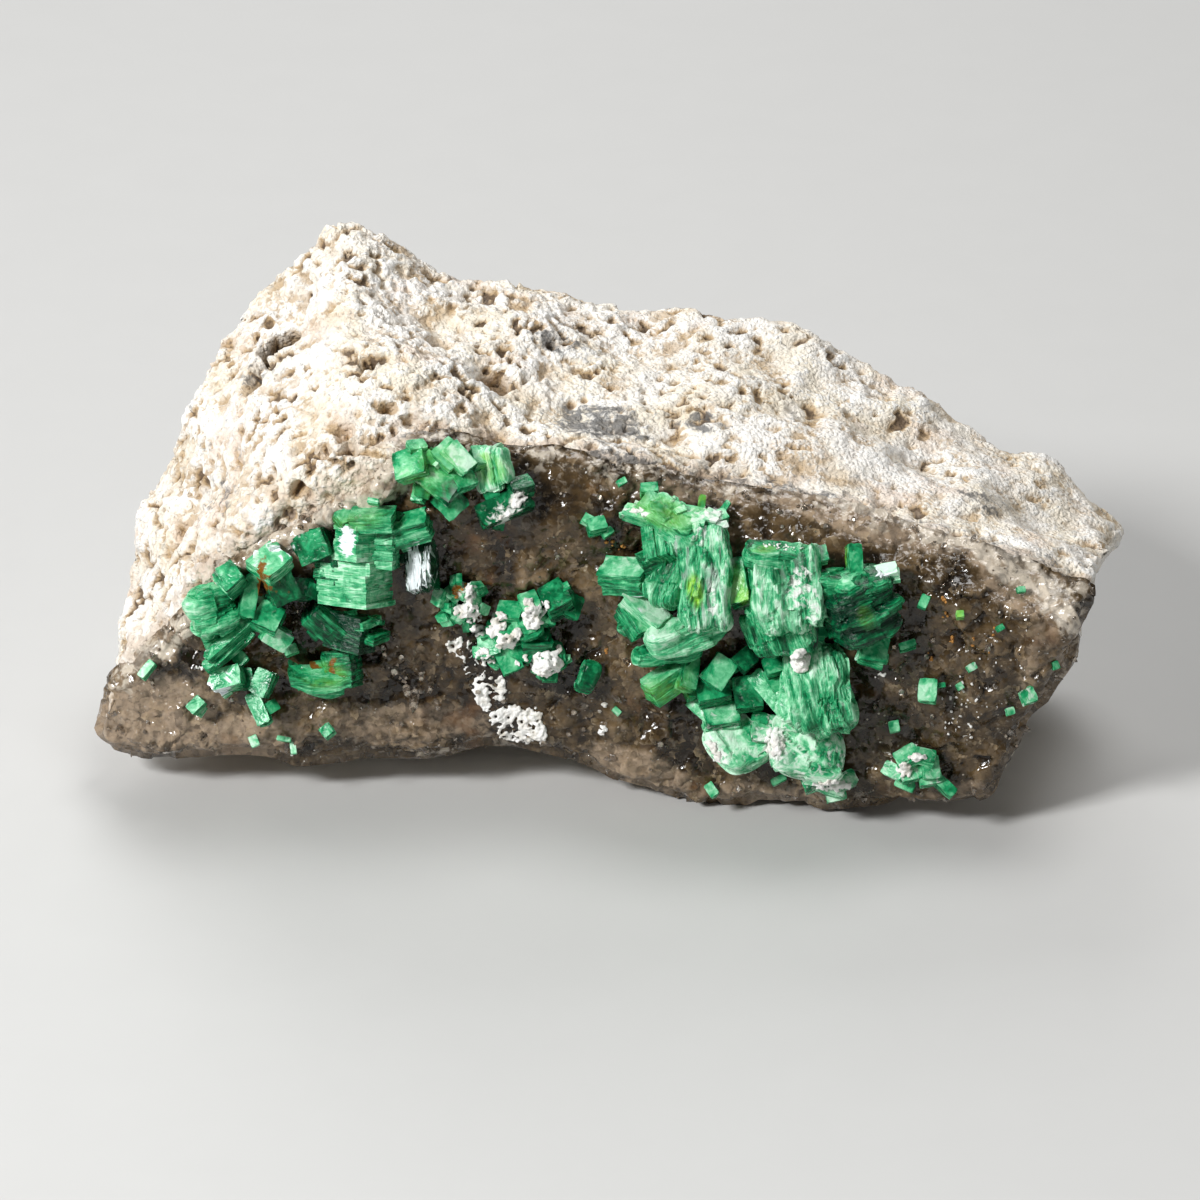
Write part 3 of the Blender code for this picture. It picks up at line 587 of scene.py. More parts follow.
@dataclass(frozen=True)
class SmokyQuartzFinish:
    """Dark brown, glassy quartz that pales to pinkish tan along its edges, with painted light and painted
    shade on the two sides of its facets, painted glints, and painted shadow in crevices.
    """

    name: str = "smoky_quartz"
    brown: Colour = (0.072, 0.045, 0.019)
    fawn: Colour = (0.175, 0.118, 0.062)
    ash: Colour = (0.20, 0.18, 0.155)
    tan: Coat = Coat((0.34, 0.255, 0.175), 0.18, 0.95, 0.85)
    # Painted shade: the side of each facet that tilts one way is darkened to near black brown.
    shade: Coat = Coat(SMOKE_AND_SHADE, 0.0, -0.7, 0.5)
    # Painted light: the side of each facet that tilts the other way is lightened to a warm tan.
    painted_facet_light: Coat = Coat((0.42, 0.32, 0.20), 0.0, 0.85, 0.45)
    rim: Coat = Coat(FROST_AND_GLINT, 0.35, 1.1, 0.85)
    rust: Coat = Coat((0.17, 0.07, 0.018), 0.60, 0.74, 0.5)

    def build(self) -> Material:
        """Makes the material."""
        b = Bench(self.name)
        fine, large, small = b.noise(0.42, 4.0, 0.3), b.facets(0.5), b.facets(0.2)
        # The raised relief adds to the ramp's number, so crystal tips are painted lighter and the pits
        # between them painted darker: painted light and shade.
        depth = b.plus(b.times(b.noise(2.4, 4.0, 0.5), 0.8), b.times(fine, 0.25),
                       b.times(b.value("raised"), 0.16))
        # Painted light and shade: each facet's tilt makes one side of every grain lighter and the other side
        # darker.
        sides = b.times(b.plus(large, b.times(small, 0.45)), b.span(b.noise(1.5), 0.35, 0.62, 0.45, 1.0))
        colour = b.ramp(depth, [(0.43, SMOKE_AND_SHADE), (0.58, self.brown), (0.78, self.fawn)])
        colour = b.coated(colour, (b.plus(b.value("pale"), b.swing(fine, 0.22)), self.tan),
                          (sides, self.shade), (sides, self.painted_facet_light))
        # Painted shadow: darkens the crust to its darkest brown in the crevices and gaps where shade falls.
        colour = b.mix(b.value("deep"), colour, SMOKE_AND_SHADE)
        rim = b.plus(b.value("rim"), b.span(b.noise(0.5, 5.0, 0.5), 0.32, 0.68, -0.6, 0.5))
        ashes = b.times(b.span(b.value("rim"), 0.3, 0.9), b.span(b.noise(0.8, 4.0, 1.0), 0.5, 0.62, 0.0, 0.6))
        colour = b.mix(ashes, b.coated(colour, (rim, self.rim)), self.ash)
        # Painted glints: small pale specks at the middles of the grains stand in for glints of light.
        painted_glints = b.times(b.span(b.cells(0.30), 0.20, 0.08), b.span(b.noise(1.1), 0.5, 0.66, 0.0, 0.7))
        colour = b.mix(painted_glints, b.coated(colour, (b.noise(3.1, 3.0, 0.4), self.rust)), FROST_AND_GLINT)
        normal = b.bumps((large, 0.10), (small, 0.03), (fine, 0.025))
        return b.dress(colour, b.swing(b.noise(0.35), 0.08, 0.24), normal, IOR=1.55, Specular_IOR_Level=0.45)


@dataclass(frozen=True)
class ClearQuartzFinish:
    """Small clear quartz points with a smoky tint."""

    name: str = "clear_quartz"
    tint: Colour = (0.50, 0.41, 0.32)
    milk: Coat = Coat((0.84, 0.80, 0.74), 0.4, 0.75)

    def build(self) -> Material:
        """Makes the material."""
        b = Bench(self.name)
        veil = b.noise(0.3)
        return b.dress(b.coated(self.tint, (veil, self.milk)), b.swing(veil, 0.03, 0.16),
                       b.bumps((veil, 0.015)), IOR=1.55, Transmission_Weight=0.88)


@dataclass(frozen=True)
class TorberniteFinish:
    """Green leaves with fine lines along their edges, frosted, stained and mottled in places, with painted
    glare on some faces and a painted sheen on the flat faces.
    """

    name: str = "torbernite"
    gloss: float = 0.18
    lines: float = 0.19
    mottle: float = 0.26
    clear: float = 0.0
    greens: tuple[Colour, ...] = ((0.0006, 0.030, 0.013), (0.0015, 0.120, 0.040), (0.016, 0.320, 0.122),
                                  (0.170, 0.580, 0.300), (0.570, 0.840, 0.640))
    ash: Colour = (0.42, 0.48, 0.44)
    lime: Colour = (0.30, 0.62, 0.02)
    powder: Colour = (0.80, 0.83, 0.78)
    rust: Coat = Coat((0.20, 0.085, 0.012), 0.4, 0.8)
    # Painted glare: a pale blue-white that stands in for the key light's reflection on some faces.
    painted_glare: Coat = Coat((0.86, 0.93, 0.95), 0.42, 0.72)

    def build(self) -> Material:
        """Makes the material."""
        b = Bench(self.name)
        edges, threads = b.grown(1.1, 6.5, 3.0, 1.3), b.grown(2.2, 24.0, 2.0, 0.6)
        columns, clouds = b.grown(4.0, 1.1, 3.0, 1.0), b.grown(1.0, 3.2, 4.0, 1.0)
        ashes = b.grown(0.6, 2.4, 3.0, 0.8)
        worn = b.value("weathered")
        # The flat faces add 0.06 to the tone: a painted sheen that makes the flat faces of the leaves a
        # little paler.
        shade = b.plus(b.value("tone"), b.times(b.span(edges, 0.25, 0.75, -self.lines, self.lines),
                                                b.span(worn, 0.25, 1.2, 1.0, 0.85)),
                       b.swing(threads, 0.07), b.swing(columns, 0.07), b.times(b.value("flat"), 0.06),
                       b.times(b.swing(clouds, self.mottle), worn))
        colour = b.ramp(shade, [(i / (len(self.greens) - 1), green) for i, green in enumerate(self.greens)])
        bleached = b.times(b.span(ashes, 0.52, 0.68), b.span(worn, 0.7, 1.5, 0.0, 0.85))
        colour = b.mix(bleached, colour, self.ash)
        colour = b.mix(b.times(b.value("lime"), b.span(clouds, 0.25, 0.6)), colour, self.lime)
        # Painted glare on the faces that the glare ovals cover, streaked along the leaves.
        colour = b.coated(colour, (b.plus(b.value("rust"), b.swing(b.noise(0.3), 0.4)), self.rust),
                          (b.plus(b.value("painted_glare"), b.swing(edges, 0.45)), self.painted_glare))
        frost = b.plus(b.value("frost"), b.swing(b.noise(0.28, 4.0, 0.8), 0.42))
        powder = b.span(frost, 0.3, 0.9, 0.0, 0.95)
        rough = b.plus(b.swing(clouds, self.gloss, self.gloss + 0.16), b.times(powder, 0.4))
        normal = b.bumps((edges, 0.07), (threads, 0.025), (columns, 0.03), (b.times(clouds, worn), 0.10))
        return b.dress(b.mix(powder, colour, self.powder), rough, normal, IOR=1.59,
                       Specular_IOR_Level=0.25, Transmission_Weight=self.clear)


@dataclass(frozen=True)
class PowderFinish:
    """A matt crumbly coating."""

    name: str = "white_powder"
    light: Colour = (0.86, 0.85, 0.82)
    dark: Coat = Coat((0.62, 0.58, 0.50), 0.45, 0.75)

    def build(self) -> Material:
        """Makes the material."""
        b = Bench(self.name)
        crumbs = b.noise(0.14, 4.0)
        return b.dress(b.coated(self.light, (b.noise(0.6), self.dark)), b.swing(crumbs, 0.8, 0.95),
                       b.bumps((crumbs, 0.05)))


@dataclass(frozen=True)
class EarthFinish:
    """Rust-coloured earth."""

    name: str = "ochre_earth"
    dark: Colour = (0.22, 0.08, 0.015)
    light: Coat = Coat((0.52, 0.25, 0.05), 0.35, 0.65)

    def build(self) -> Material:
        """Makes the material."""
        b = Bench(self.name)
        crumbs = b.noise(0.1, 4.0)
        return b.dress(b.coated(self.dark, (crumbs, self.light)), 0.7, b.bumps((crumbs, 0.03)))


@dataclass(frozen=True)
class FloorFinish:
    """A plain pale floor, faintly cloudy."""

    name: str = "floor"
    pale: Colour = (0.55, 0.55, 0.54)
    dim: float = 0.97

    def build(self) -> Material:
        """Makes the material."""
        b = Bench(self.name)
        return b.dress(b.mix(b.noise(3.0, 2.0), self.pale, tuple(part * self.dim for part in self.pale)), 0.6)


# Rock

@dataclass
class HostRock:
    """The porous rock: one closed lump that also lies under the quartz crust.

    A cavity is given by its place in the view, its radius and its depth. near_crust is how close to
    the crust, in millimetres, the rock counts as covered fully and at all.
    """

    swell: float = 0.2
    voxel: float = 0.40
    under_crust: float = 0.45
    under_rim: float = 0.10
    rim_width: float = 1.0
    near_crust: tuple[float, float] = (0.06, 0.16)
    glassy_reach: float = 2.4
    smoke_reach: float = 0.42
    pore_cell: float = 0.95
    pore_depth: float = 0.28
    grain_cell: float = 0.46
    grain_height: float = 0.15
    swells: tuple[Ripple, ...] = (Ripple(0.16, 1.7), Ripple(0.12, 0.8, (5.0, 1.0, 8.0)))
    sugar: Ripple = Ripple(0.06, 0.2)
    sponge: tuple[Ripple, ...] = (Ripple(1.0, 0.5, (2.0, 7.0, 4.0)), Ripple(0.5, 0.24, (4.0, 4.0, 1.0)))
    spongy: Ripple = Ripple(1.1, 2.6, (9.0, 2.0, 1.0))
    cavities: list[tuple[float, float, float, float]] = field(default_factory=lambda: [
        (262, 346, 0.42, 1.9), (254, 356, 0.46, 2.1), (249, 368, 0.46, 2.1), (246, 381, 0.42, 1.9),
        (272, 339, 0.4, 1.7), (284, 333, 0.34, 1.4), (366, 362, 0.32, 1.6), (294, 331, 0.26, 1.0),
        (325, 452, 0.34, 0.45), (345, 430, 0.38, 0.5), (352, 445, 0.3, 0.45), (392, 408, 0.25, 0.5),
        (186, 548, 0.6, 0.5), (176, 528, 0.4, 0.4), (440, 338, 0.55, 0.6), (492, 385, 0.6, 0.5),
        (300, 490, 0.3, 0.4), (270, 475, 0.3, 0.4), (296, 450, 0.3, 0.4), (412, 422, 0.3, 0.4)])
    smoke: list[Patch] = field(default_factory=lambda: table(
        Patch,
        (597, 424, 50, 17, 6, 1.15), (622, 462, 40, 12, 8, 1.2), (700, 425, 28, 12, 5, 0.85),
        (560, 343, 36, 10, 5), (255, 372, 12, 16, 30, 0.7), (222, 495, 14, 22, 30, 0.55),
        (455, 442, 52, 8, 5, 0.8), (800, 492, 62, 7, 14, 0.9), (900, 530, 70, 8, 14, 0.6),
        (980, 500, 26, 14, 20, 0.6), (715, 478, 60, 6, 4, 0.7), (1040, 575, 24, 10, 30, 0.5)))
    finish: PorousRockFinish = PorousRockFinish()

    def lump(self) -> BMesh:
        """Closes the gap between the two CAD rock nodes and gives one even, rounded lump."""
        swollen = welded("host_rock", "quartz_crust")
        for vert in swollen.verts:
            vert.co += vert.normal * self.swell * MM
        bm = one_skin(swollen, self.voxel)
        for vert in bm.verts:
            vert.co -= vert.normal * self.swell * MM
        soften(bm, 2)
        return fitted(bm)

    def relief(self, point: Vector, cavities: list[tuple[Vector, float, float]]) -> tuple[float, float]:
        """Works out the rock's grain at a point.

        Args:
            point: The point, in metres.
            cavities: The middle, radius and depth of each single cavity.

        Returns:
            How far the surface moves out, in metres, and how far into a pore the point lies, from 0 up.
        """
        at = point / MM
        out = sum(ripple.at(at) for ripple in self.swells)
        grains, _ = noise.voronoi(at / self.grain_cell)
        out += self.grain_height * (0.42 - grains[0]) + self.sugar.at(at)
        calm = held(at.x / 10.0)
        spongy = 0.75 + self.spongy.at(at) - 0.35 * calm
        hollow = held((-0.10 - sum(ripple.at(at) for ripple in self.sponge)) * 3.4) * held(spongy * 1.3)
        near, middles = noise.voronoi(at / self.pore_cell + Vector((2, 7, 4)))
        if noise.cell(middles[0] * 7.3) > 0.62 + 0.2 * calm:
            hollow = max(hollow, held((0.30 - near[0]) * 7.0))
        out -= self.pore_depth * hollow
        for middle, radius, depth in cavities:
            apart = (point - middle).length / (radius * MM)
            if apart < PATCH_END:
                pit = min(1.0, (PATCH_END - apart) * 1.6)
                out -= depth * pit
                hollow = max(hollow, min(depth, 1.8) * pit)
        return out * MM, hollow

    def refined(self, crust: BVHTree) -> Mesh:
        """Gives the lump finer faces where the rock is bare, and the finest at its upper left."""
        bm, eye = self.lump(), VIEW.eye

        def bare(face: bmesh.types.BMFace, apart: float) -> bool:
            """Says whether a face is further from the crust than so many millimetres."""
            return crust.find_nearest(face.calc_center_median())[3] > apart * MM

        refine(bm, lambda face: face.normal.z > -0.5 and bare(face, 0.25))
        refine(bm, lambda face: (face.normal.dot(eye) > 0.12 and face.calc_center_median().x < 2 * MM
                                 and face.calc_center_median().z > 5 * MM and bare(face, 0.15)))
        soften(bm, 2)
        return mesh_from(bm, "host_rock_porous")

    def build(self) -> Piece:
        """Makes the rock and dresses it."""
        crust, bare = tree_of(welded("quartz_crust")), tree_of(welded("host_rock"))
        mesh = self.refined(crust)
        whole = tree_of(bmesh_of(mesh))
        cavities = [(VIEW.seen_point(whole, px, py), *sizes) for px, py, *sizes in self.cavities]
        points, normals = points_of(mesh), points_of(mesh, "normal")
        hollows, nearness, raised = (np.zeros(len(points)) for _ in range(3))
        touching, free = self.near_crust
        for i, (point, normal) in enumerate(zip(points, normals)):
            at = Vector(point)
            apart = crust.find_nearest(at)[3] / MM
            hidden = held((free - apart) / (free - touching))
            out, hollow = self.relief(at, cavities) if hidden < 1.0 else (0.0, 0.0)
            rim = min(1.0, bare.find_nearest(at)[3] / self.rim_width / MM)
            sunk = self.under_rim + (self.under_crust - self.under_rim) * rim
            out = out * (1.0 - hidden) - sunk * MM * hidden
            points[i] = point + normal * out
            hollows[i] = hollow
            raised[i] = out / (0.3 * MM) + 0.5
            nearness[i] = max(0.0, 1.0 - apart / self.glassy_reach)
        points[:, 2] = np.maximum(points[:, 2], 0.0)
        set_points(mesh, points)
        x, y = VIEW.project(points)
        facing = ease(normals @ np.array(VIEW.eye) * 3.0 + 0.3)
        wander = np.array([noise.noise_vector(Vector(point) / (1.1 * MM)) for point in points])
        smoke = covered(self.smoke, x + wander[:, 0] * 14.0, y + wander[:, 1] * 9.0) * facing
        store(mesh, hollow=hollows, raised=raised, glassy=nearness,
              smoke=np.maximum(smoke, self.smoke_reach * nearness * ease((x - 560.0) / 120.0)))
        return place_piece("host_rock_porous", mesh, self.finish.build(), "host_rock", "host_rock")


@dataclass
class QuartzCrust:
    """The druse of small smoky quartz crystals over the front of the rock.

    A lump is given by its place in the view and its radius. facets holds the spacing and the height of
    the crystals, and the edge sizes say how far from bare rock the rim is drawn out and pales.
    """

    voxel: float = 0.22
    facets: tuple[tuple[float, float], ...] = ((0.9, 0.24), (0.42, 0.09))
    swell: Ripple = Ripple(0.22, 1.9, (8.0, 8.0, 1.0))
    patchy: Ripple = Ripple(0.8, 2.5, (1.0, 4.0, 2.0))
    reach_back: float = 0.35
    lip: float = 0.14
    lip_width: float = 0.9
    edge_width: float = 1.5
    lumps: list[Triple] = field(default_factory=lambda: [
        (404, 440, 0.5), (396, 456, 0.42), (393, 474, 0.5), (408, 470, 0.36), (382, 490, 0.52),
        (364, 492, 0.55), (350, 506, 0.5), (332, 516, 0.55), (312, 524, 0.48), (296, 532, 0.5),
        (372, 506, 0.4), (280, 540, 0.42), (262, 546, 0.4), (228, 566, 0.4), (206, 580, 0.45),
        (386, 506, 0.34), (400, 486, 0.32), (190, 596, 0.4)])
    pale: list[Patch] = field(default_factory=lambda: table(
        Patch,
        (150, 715, 75, 40, -10, 0.9), (235, 738, 80, 26, 0, 0.9), (400, 724, 110, 24, 0, 0.6),
        (290, 530, 70, 26, -20), (358, 490, 44, 26, -35), (400, 462, 24, 34),
        (200, 600, 26, 40, 25, 0.8), (640, 770, 60, 20, 20, 0.8), (760, 795, 80, 14, 3, 0.7),
        (880, 520, 110, 26, 14, 0.85), (1020, 590, 50, 26, 30, 0.8), (690, 492, 90, 14, 5, 0.6),
        (1040, 650, 16, 60, 20, 0.5), (960, 790, 50, 12, 0, 0.5), (140, 640, 50, 40, -20, 0.7),
        (820, 510, 60, 10, 14, 0.9), (990, 560, 60, 14, 30, 0.8)))
    rims: list[Patch] = field(default_factory=lambda: table(
        Patch,
        (404, 446, 14, 18, 0, 0.9), (395, 472, 20, 32, 20), (360, 498, 36, 18, -35, 1.1),
        (320, 518, 36, 14, -22), (275, 540, 38, 13, -25), (235, 560, 30, 12, -35, 0.9),
        (165, 636, 46, 22, -48, 0.75), (800, 487, 60, 11, 10, 0.9), (870, 506, 60, 13, 14),
        (950, 533, 60, 17, 18, 1.1), (1010, 566, 50, 20, 32, 1.15), (1056, 600, 34, 18, 45, 1.15),
        (1072, 625, 14, 16, 0, 0.9), (640, 468, 60, 8, 8, 0.6)))
    # Painted shadow: soft ovals where the crust is darkened, in the crevice right of the large cluster and in
    # the gaps between crystals, where shade falls.
    deep: list[Patch] = field(default_factory=lambda: table(
        Patch,
        (866, 692, 20, 56, 8, 0.85), (760, 640, 16, 34, 0, 0.7), (738, 600, 12, 44, 0, 0.8),
        (438, 532, 26, 22, 0, 0.5), (902, 630, 16, 30, 0, 0.5), (300, 640, 20, 14, 0, 0.6),
        (690, 700, 40, 30, 0, 0.5), (840, 770, 30, 12, 0, 0.5)))
    finish: SmokyQuartzFinish = SmokyQuartzFinish()

    def relief(self, point: Vector) -> float:
        """How far the druse stands out at a point, in metres: tilted facets of two sizes on soft lumps."""
        at = point / MM
        patchy = max(0.2, 0.7 + self.patchy.at(at))
        out = self.swell.at(at) - 0.10
        for cell, height in self.facets:
            place = at / cell + Vector((3, 3, 3))
            near, middles = noise.voronoi(place)
            lean = noise.cell_vector(middles[0] * 3.7) - Vector((0.5, 0.5, 0.5))
            out += height * patchy * (2.0 * lean.dot(place - middles[0]) + 0.4 * min(0.5, near[1] - near[0]))
        return out * MM

    def even(self) -> Mesh:
        """Gives the crust an even, softened mesh, with rounded lumps along its upper left rim."""
        bm = welded("quartz_crust")
        shape = tree_of(bm.copy())
        for px, py, radius in self.lumps:
            found = VIEW.seen_point(shape, px, py)
            if found:
                place = Matrix.Translation(found - VIEW.eye * 0.35 * radius * MM)
                bmesh.ops.create_icosphere(bm, subdivisions=2, radius=radius * MM, matrix=place)
        bm = one_skin(bm, self.voxel)
        soften(bm, 3)
        eye = VIEW.eye
        refine(fitted(bm), lambda face: face.normal.dot(eye) > 0.05)
        return mesh_from(bm, "quartz_druse")

    def build(self) -> Piece:
        """Makes the crust and dresses it."""
        mesh = self.even()
        host = tree_of(welded("host_rock"))
        points, normals = points_of(mesh), points_of(mesh, "normal")
        edges, raised = np.zeros(len(points)), np.zeros(len(points))
        eye = VIEW.eye
        for i, (point, normal) in enumerate(zip(points, normals)):
            at = Vector(point)
            apart = host.find_nearest(at)[3] / MM
            outward = held((Vector(normal).dot(eye) + 0.1) / 0.3)
            out = self.relief(at) * outward
            raised[i] = out / (0.25 * MM) + 0.5
            if apart < self.lip_width:
                out += (self.reach_back * (1.0 - outward) + self.lip * outward) * MM
            points[i] = point + normal * out
            edges[i] = max(0.0, 1.0 - apart / self.edge_width) * outward
        points[:, 2] = np.maximum(points[:, 2], 0.02 * MM)
        set_points(mesh, points)
        x, y = VIEW.project(points)
        store(mesh, pale=np.maximum(covered(self.pale, x, y), 0.5 * edges),
              rim=np.maximum(edges, covered(self.rims, x, y)), deep=covered(self.deep, x, y), raised=raised)
        return place_piece("quartz_druse", mesh, self.finish.build(), "smoky_quartz", "quartz_crust")


# Crystals

class Form(Enum):
    """How a book of leaves has grown."""

    LEAVES = "plane leaves with sharp corners"
    BARREL = "a bulging, overgrown stack"
    BOWL = "leaves curved upwards at both ends"
    MASS = "a massive, rounded block with worn fibres"


LEAVES, BARREL, BOWL, MASS = Form


@dataclass(frozen=True)
class Book:
    """A stack of square leaves, placed by where its middle shows in the front view.

    out is how far the middle stands before the rock, width and height are a leaf's sides and thick is
    the height of the stack. axis is the way the stack points: right, up, towards the eye. spin turns it
    about that axis, in degrees. tone runs from 0, near black, to 1, milky.
    """

    px: float
    py: float
    out: float
    width: float
    height: float
    thick: float
    axis: Triple
    spin: float
    tone: float = 0.42
    frost: float = 0.0
    weathered: float = 0.25
    form: Form = LEAVES

    def turned(self) -> np.ndarray:
        """The turn that takes a flat-lying stack to its axis and spin."""
        right, up, eye = VIEW.right, VIEW.up, VIEW.eye
        way = (right * self.axis[0] + up * self.axis[1] + eye * self.axis[2]).normalized()
        side = up if abs(way.dot(right)) > 0.8 else right
        across = (side - way * side.dot(way)).normalized()
        turn = Matrix((across, way.cross(across), way)).transposed()
        return np.array(turn @ Matrix.Rotation(math.radians(self.spin), 3, "Z"))


def leaf_template(cuts: int = 4) -> Mesh:
    """Makes one square leaf of unit sides and thickness, with its middle at the origin.

    Args:
        cuts: Points added along each side.

    Returns:
        The leaf.
    """
    bm = bmesh.new()
    bmesh.ops.create_circle(bm, cap_ends=True, segments=4, radius=math.sqrt(0.5))
    bmesh.ops.rotate(bm, verts=bm.verts, matrix=Matrix.Rotation(math.radians(45.0), 3, "Z"))
    bmesh.ops.subdivide_edges(bm, edges=bm.edges[:], cuts=cuts)
    pull_up(bm, bm.faces[:], 1.0)
    bmesh.ops.translate(bm, verts=bm.verts, vec=(0.0, 0.0, -0.5))
    bmesh.ops.recalc_face_normals(bm, faces=bm.faces)
    flat = bm.faces.layers.float.new("flat")
    for face in bm.faces:
        face[flat] = 1.0 if abs(face.normal.z) > 0.5 else 0.0
    return mesh_from(bm, "leaf")


def block_template(cuts: int = 24) -> Mesh:
    """Makes an evenly divided unit cube, with its middle at the origin.

    Args:
        cuts: Points added along each side.

    Returns:
        The cube.
    """
    bm = bmesh.new()
    bmesh.ops.create_cube(bm, size=1.0)
    bmesh.ops.subdivide_edges(bm, edges=bm.edges[:], cuts=cuts, use_grid_fill=True)
    bm.faces.layers.float.new("flat")
    return mesh_from(bm, "block")


# A leaf or block as it has grown: its points in metres from the book's middle, the same points in
# millimetres in the book's own directions, and its tones.
Grown = tuple[np.ndarray, np.ndarray, np.ndarray]
SEED_REACH = 40.0


def rounding(points: np.ndarray, power: float) -> np.ndarray:
    """How far points lie out, measured so that a rounded square or cube of a power counts as 1."""
    return (np.abs(points) ** power).sum(axis=1) ** (1.0 / power)


@dataclass
class LeafStack:
    """Builds the leaves of one book. A few leaves at a time keep together as a plate."""

    book: Book
    chance: np.random.Generator
    leaf_thick: float = 0.085
    thick_play: tuple[float, float] = (1.02, 0.3)
    plate_leaves: int = 4
    plate_play: float = 0.09
    plate_turns: Triple = (2.5, 1.1, 1.1)
    leaf_play: float = 0.015
    slip: float = 0.04
    ragged: float = 0.022
    wave: float = 0.06
    plate_tone: float = 0.05
    leaf_tone: float = 0.04
    brick_tone: float = 0.16
    corner_large: tuple[float, float] = (24.0, 40.0)
    corner_small: tuple[float, float] = (9.0, 26.0)
    corner_barrel: float = 3.2
    bowl: float = 0.64

    def plate(self) -> tuple[int, float, np.ndarray, np.ndarray, float]:
        """Draws the next plate: its count of leaves, its size, turn and shift, and its tone."""
        chance = self.chance
        count = int(chance.integers(2, 2 * self.plate_leaves))
        size = 1.0 - self.plate_play * chance.random()
        spin, nod, roll = np.radians(self.plate_turns) * chance.normal(size=3)
        turn = np.array(Matrix.Rotation(spin, 3, "Z") @ Matrix.Rotation(nod, 3, "X")
                        @ Matrix.Rotation(roll, 3, "Y"))
        shift = chance.uniform(-self.slip, self.slip, 2) * self.book.width
        return count, size, turn, shift, chance.normal() * self.plate_tone

    def grow(self, unit: np.ndarray) -> list[Grown]:
        """Shapes each leaf.

        Args:
            unit: The points of a unit leaf.

        Returns:
            The leaves.
        """
        book, chance, made, left = self.book, self.chance, [], 0
        barrel = book.form is BARREL
        count = max(3, round(book.thick / self.leaf_thick))
        seed = chance.uniform(-SEED_REACH, SEED_REACH, 3)
        rough = self.ragged * (2.0 if barrel else 1.0)
        corners = self.corner_large if book.width * book.height > 1.2 else self.corner_small
        corner = self.corner_barrel if barrel else chance.uniform(*corners)
        for i in range(count):
            along = (i + 0.5) / count
            if left == 0:
                left, plate, turn, shift, plate_tone = self.plate()
            left -= 1
            size = plate - self.leaf_play * chance.random()
            points = unit.copy()
            tones = np.full(len(points), book.tone + plate_tone + chance.normal() * self.leaf_tone)
            points[:, :2] /= rounding(2.0 * points[:, :2], corner)[:, None]
            if barrel:
                size *= (1.0 - abs(2.0 * along - 1.0) ** 2.6) ** 0.42 * 0.75 + 0.27
            for j, (across, beside, _) in enumerate(unit):
                brick = noise.cell(Vector((across * 5.0, beside * 5.0, i // 2 * 1.7)) + Vector(seed))
                wave = noise.noise(Vector((across * 2.0, beside * 2.0, i * 0.12)) + Vector(seed))
                points[j, :2] *= 1.0 - rough * 2.0 * brick + self.wave * wave
                tones[j] += self.brick_tone * (brick - 0.5)
            high = book.thick / count * (self.thick_play[0] + self.thick_play[1] * chance.random())
            points *= (book.width * size, book.height * size, high)
            points[:, :2] += shift
            if book.form is BOWL:
                points[:, 2] += self.bowl * points[:, 0] ** 2 / book.width
            points = points @ turn.T
            points[:, 2] += (along - 0.5) * book.thick
            made.append((points * MM, points + seed, tones))
        return made


@dataclass
class WornBlock:
    """Builds a massive book, in which the leaves have grown into one fibrous block.

    fold, swell, step and grain are heights, for a block whose sides all pass full_relief, and sheet is
    the height of one step's sheet.
    """

    book: Book
    chance: np.random.Generator
    full_relief: float = 1.5
    bend: float = 0.35
    fold: float = 0.24
    swell: float = 0.34
    sheet: float = 0.22
    step: float = 0.12
    grain: float = 0.08
    fold_tone: float = 0.26
    swell_tone: float = 0.2
    step_tone: float = 0.12

    def grow(self, unit: np.ndarray) -> list[Grown]:
        """Shapes the block.

        Args:
            unit: The points of a divided unit cube.

        Returns:
            The one block.
        """
        book = self.book
        seed = self.chance.uniform(-SEED_REACH, SEED_REACH, 3)
        power = self.chance.uniform(3.0, 6.0)
        share = min(1.0, min(book.width, book.height, book.thick) / self.full_relief)
        squared = np.abs(unit).max(axis=1) / rounding(unit, power)
        points = unit * squared[:, None] * (book.width, book.height, book.thick)
        tones = np.full(len(unit), book.tone)
        for i, place in enumerate(points + seed):
            at = Vector(place)
            bent = at + noise.noise_vector(at / 1.3) * self.bend
            swell = noise.noise(at / 1.9)
            fold = noise.noise(Vector((bent.x / 1.7, bent.y / 1.7, bent.z / 0.45)))
            sheet = noise.cell(Vector((bent.x * 0.8, bent.y * 0.8, bent.z / self.sheet)))
            grain = noise.noise(Vector((bent.x / 0.7, bent.y / 0.7, bent.z / 0.2)))
            out = self.swell * swell + self.fold * fold - self.step * sheet + self.grain * grain
            points[i] += np.array(Vector(unit[i]).normalized()) * out * share
            tones[i] += self.fold_tone * fold + self.swell_tone * swell + self.step_tone * (0.5 - sheet)
        return [(points * MM, points + seed, tones)]


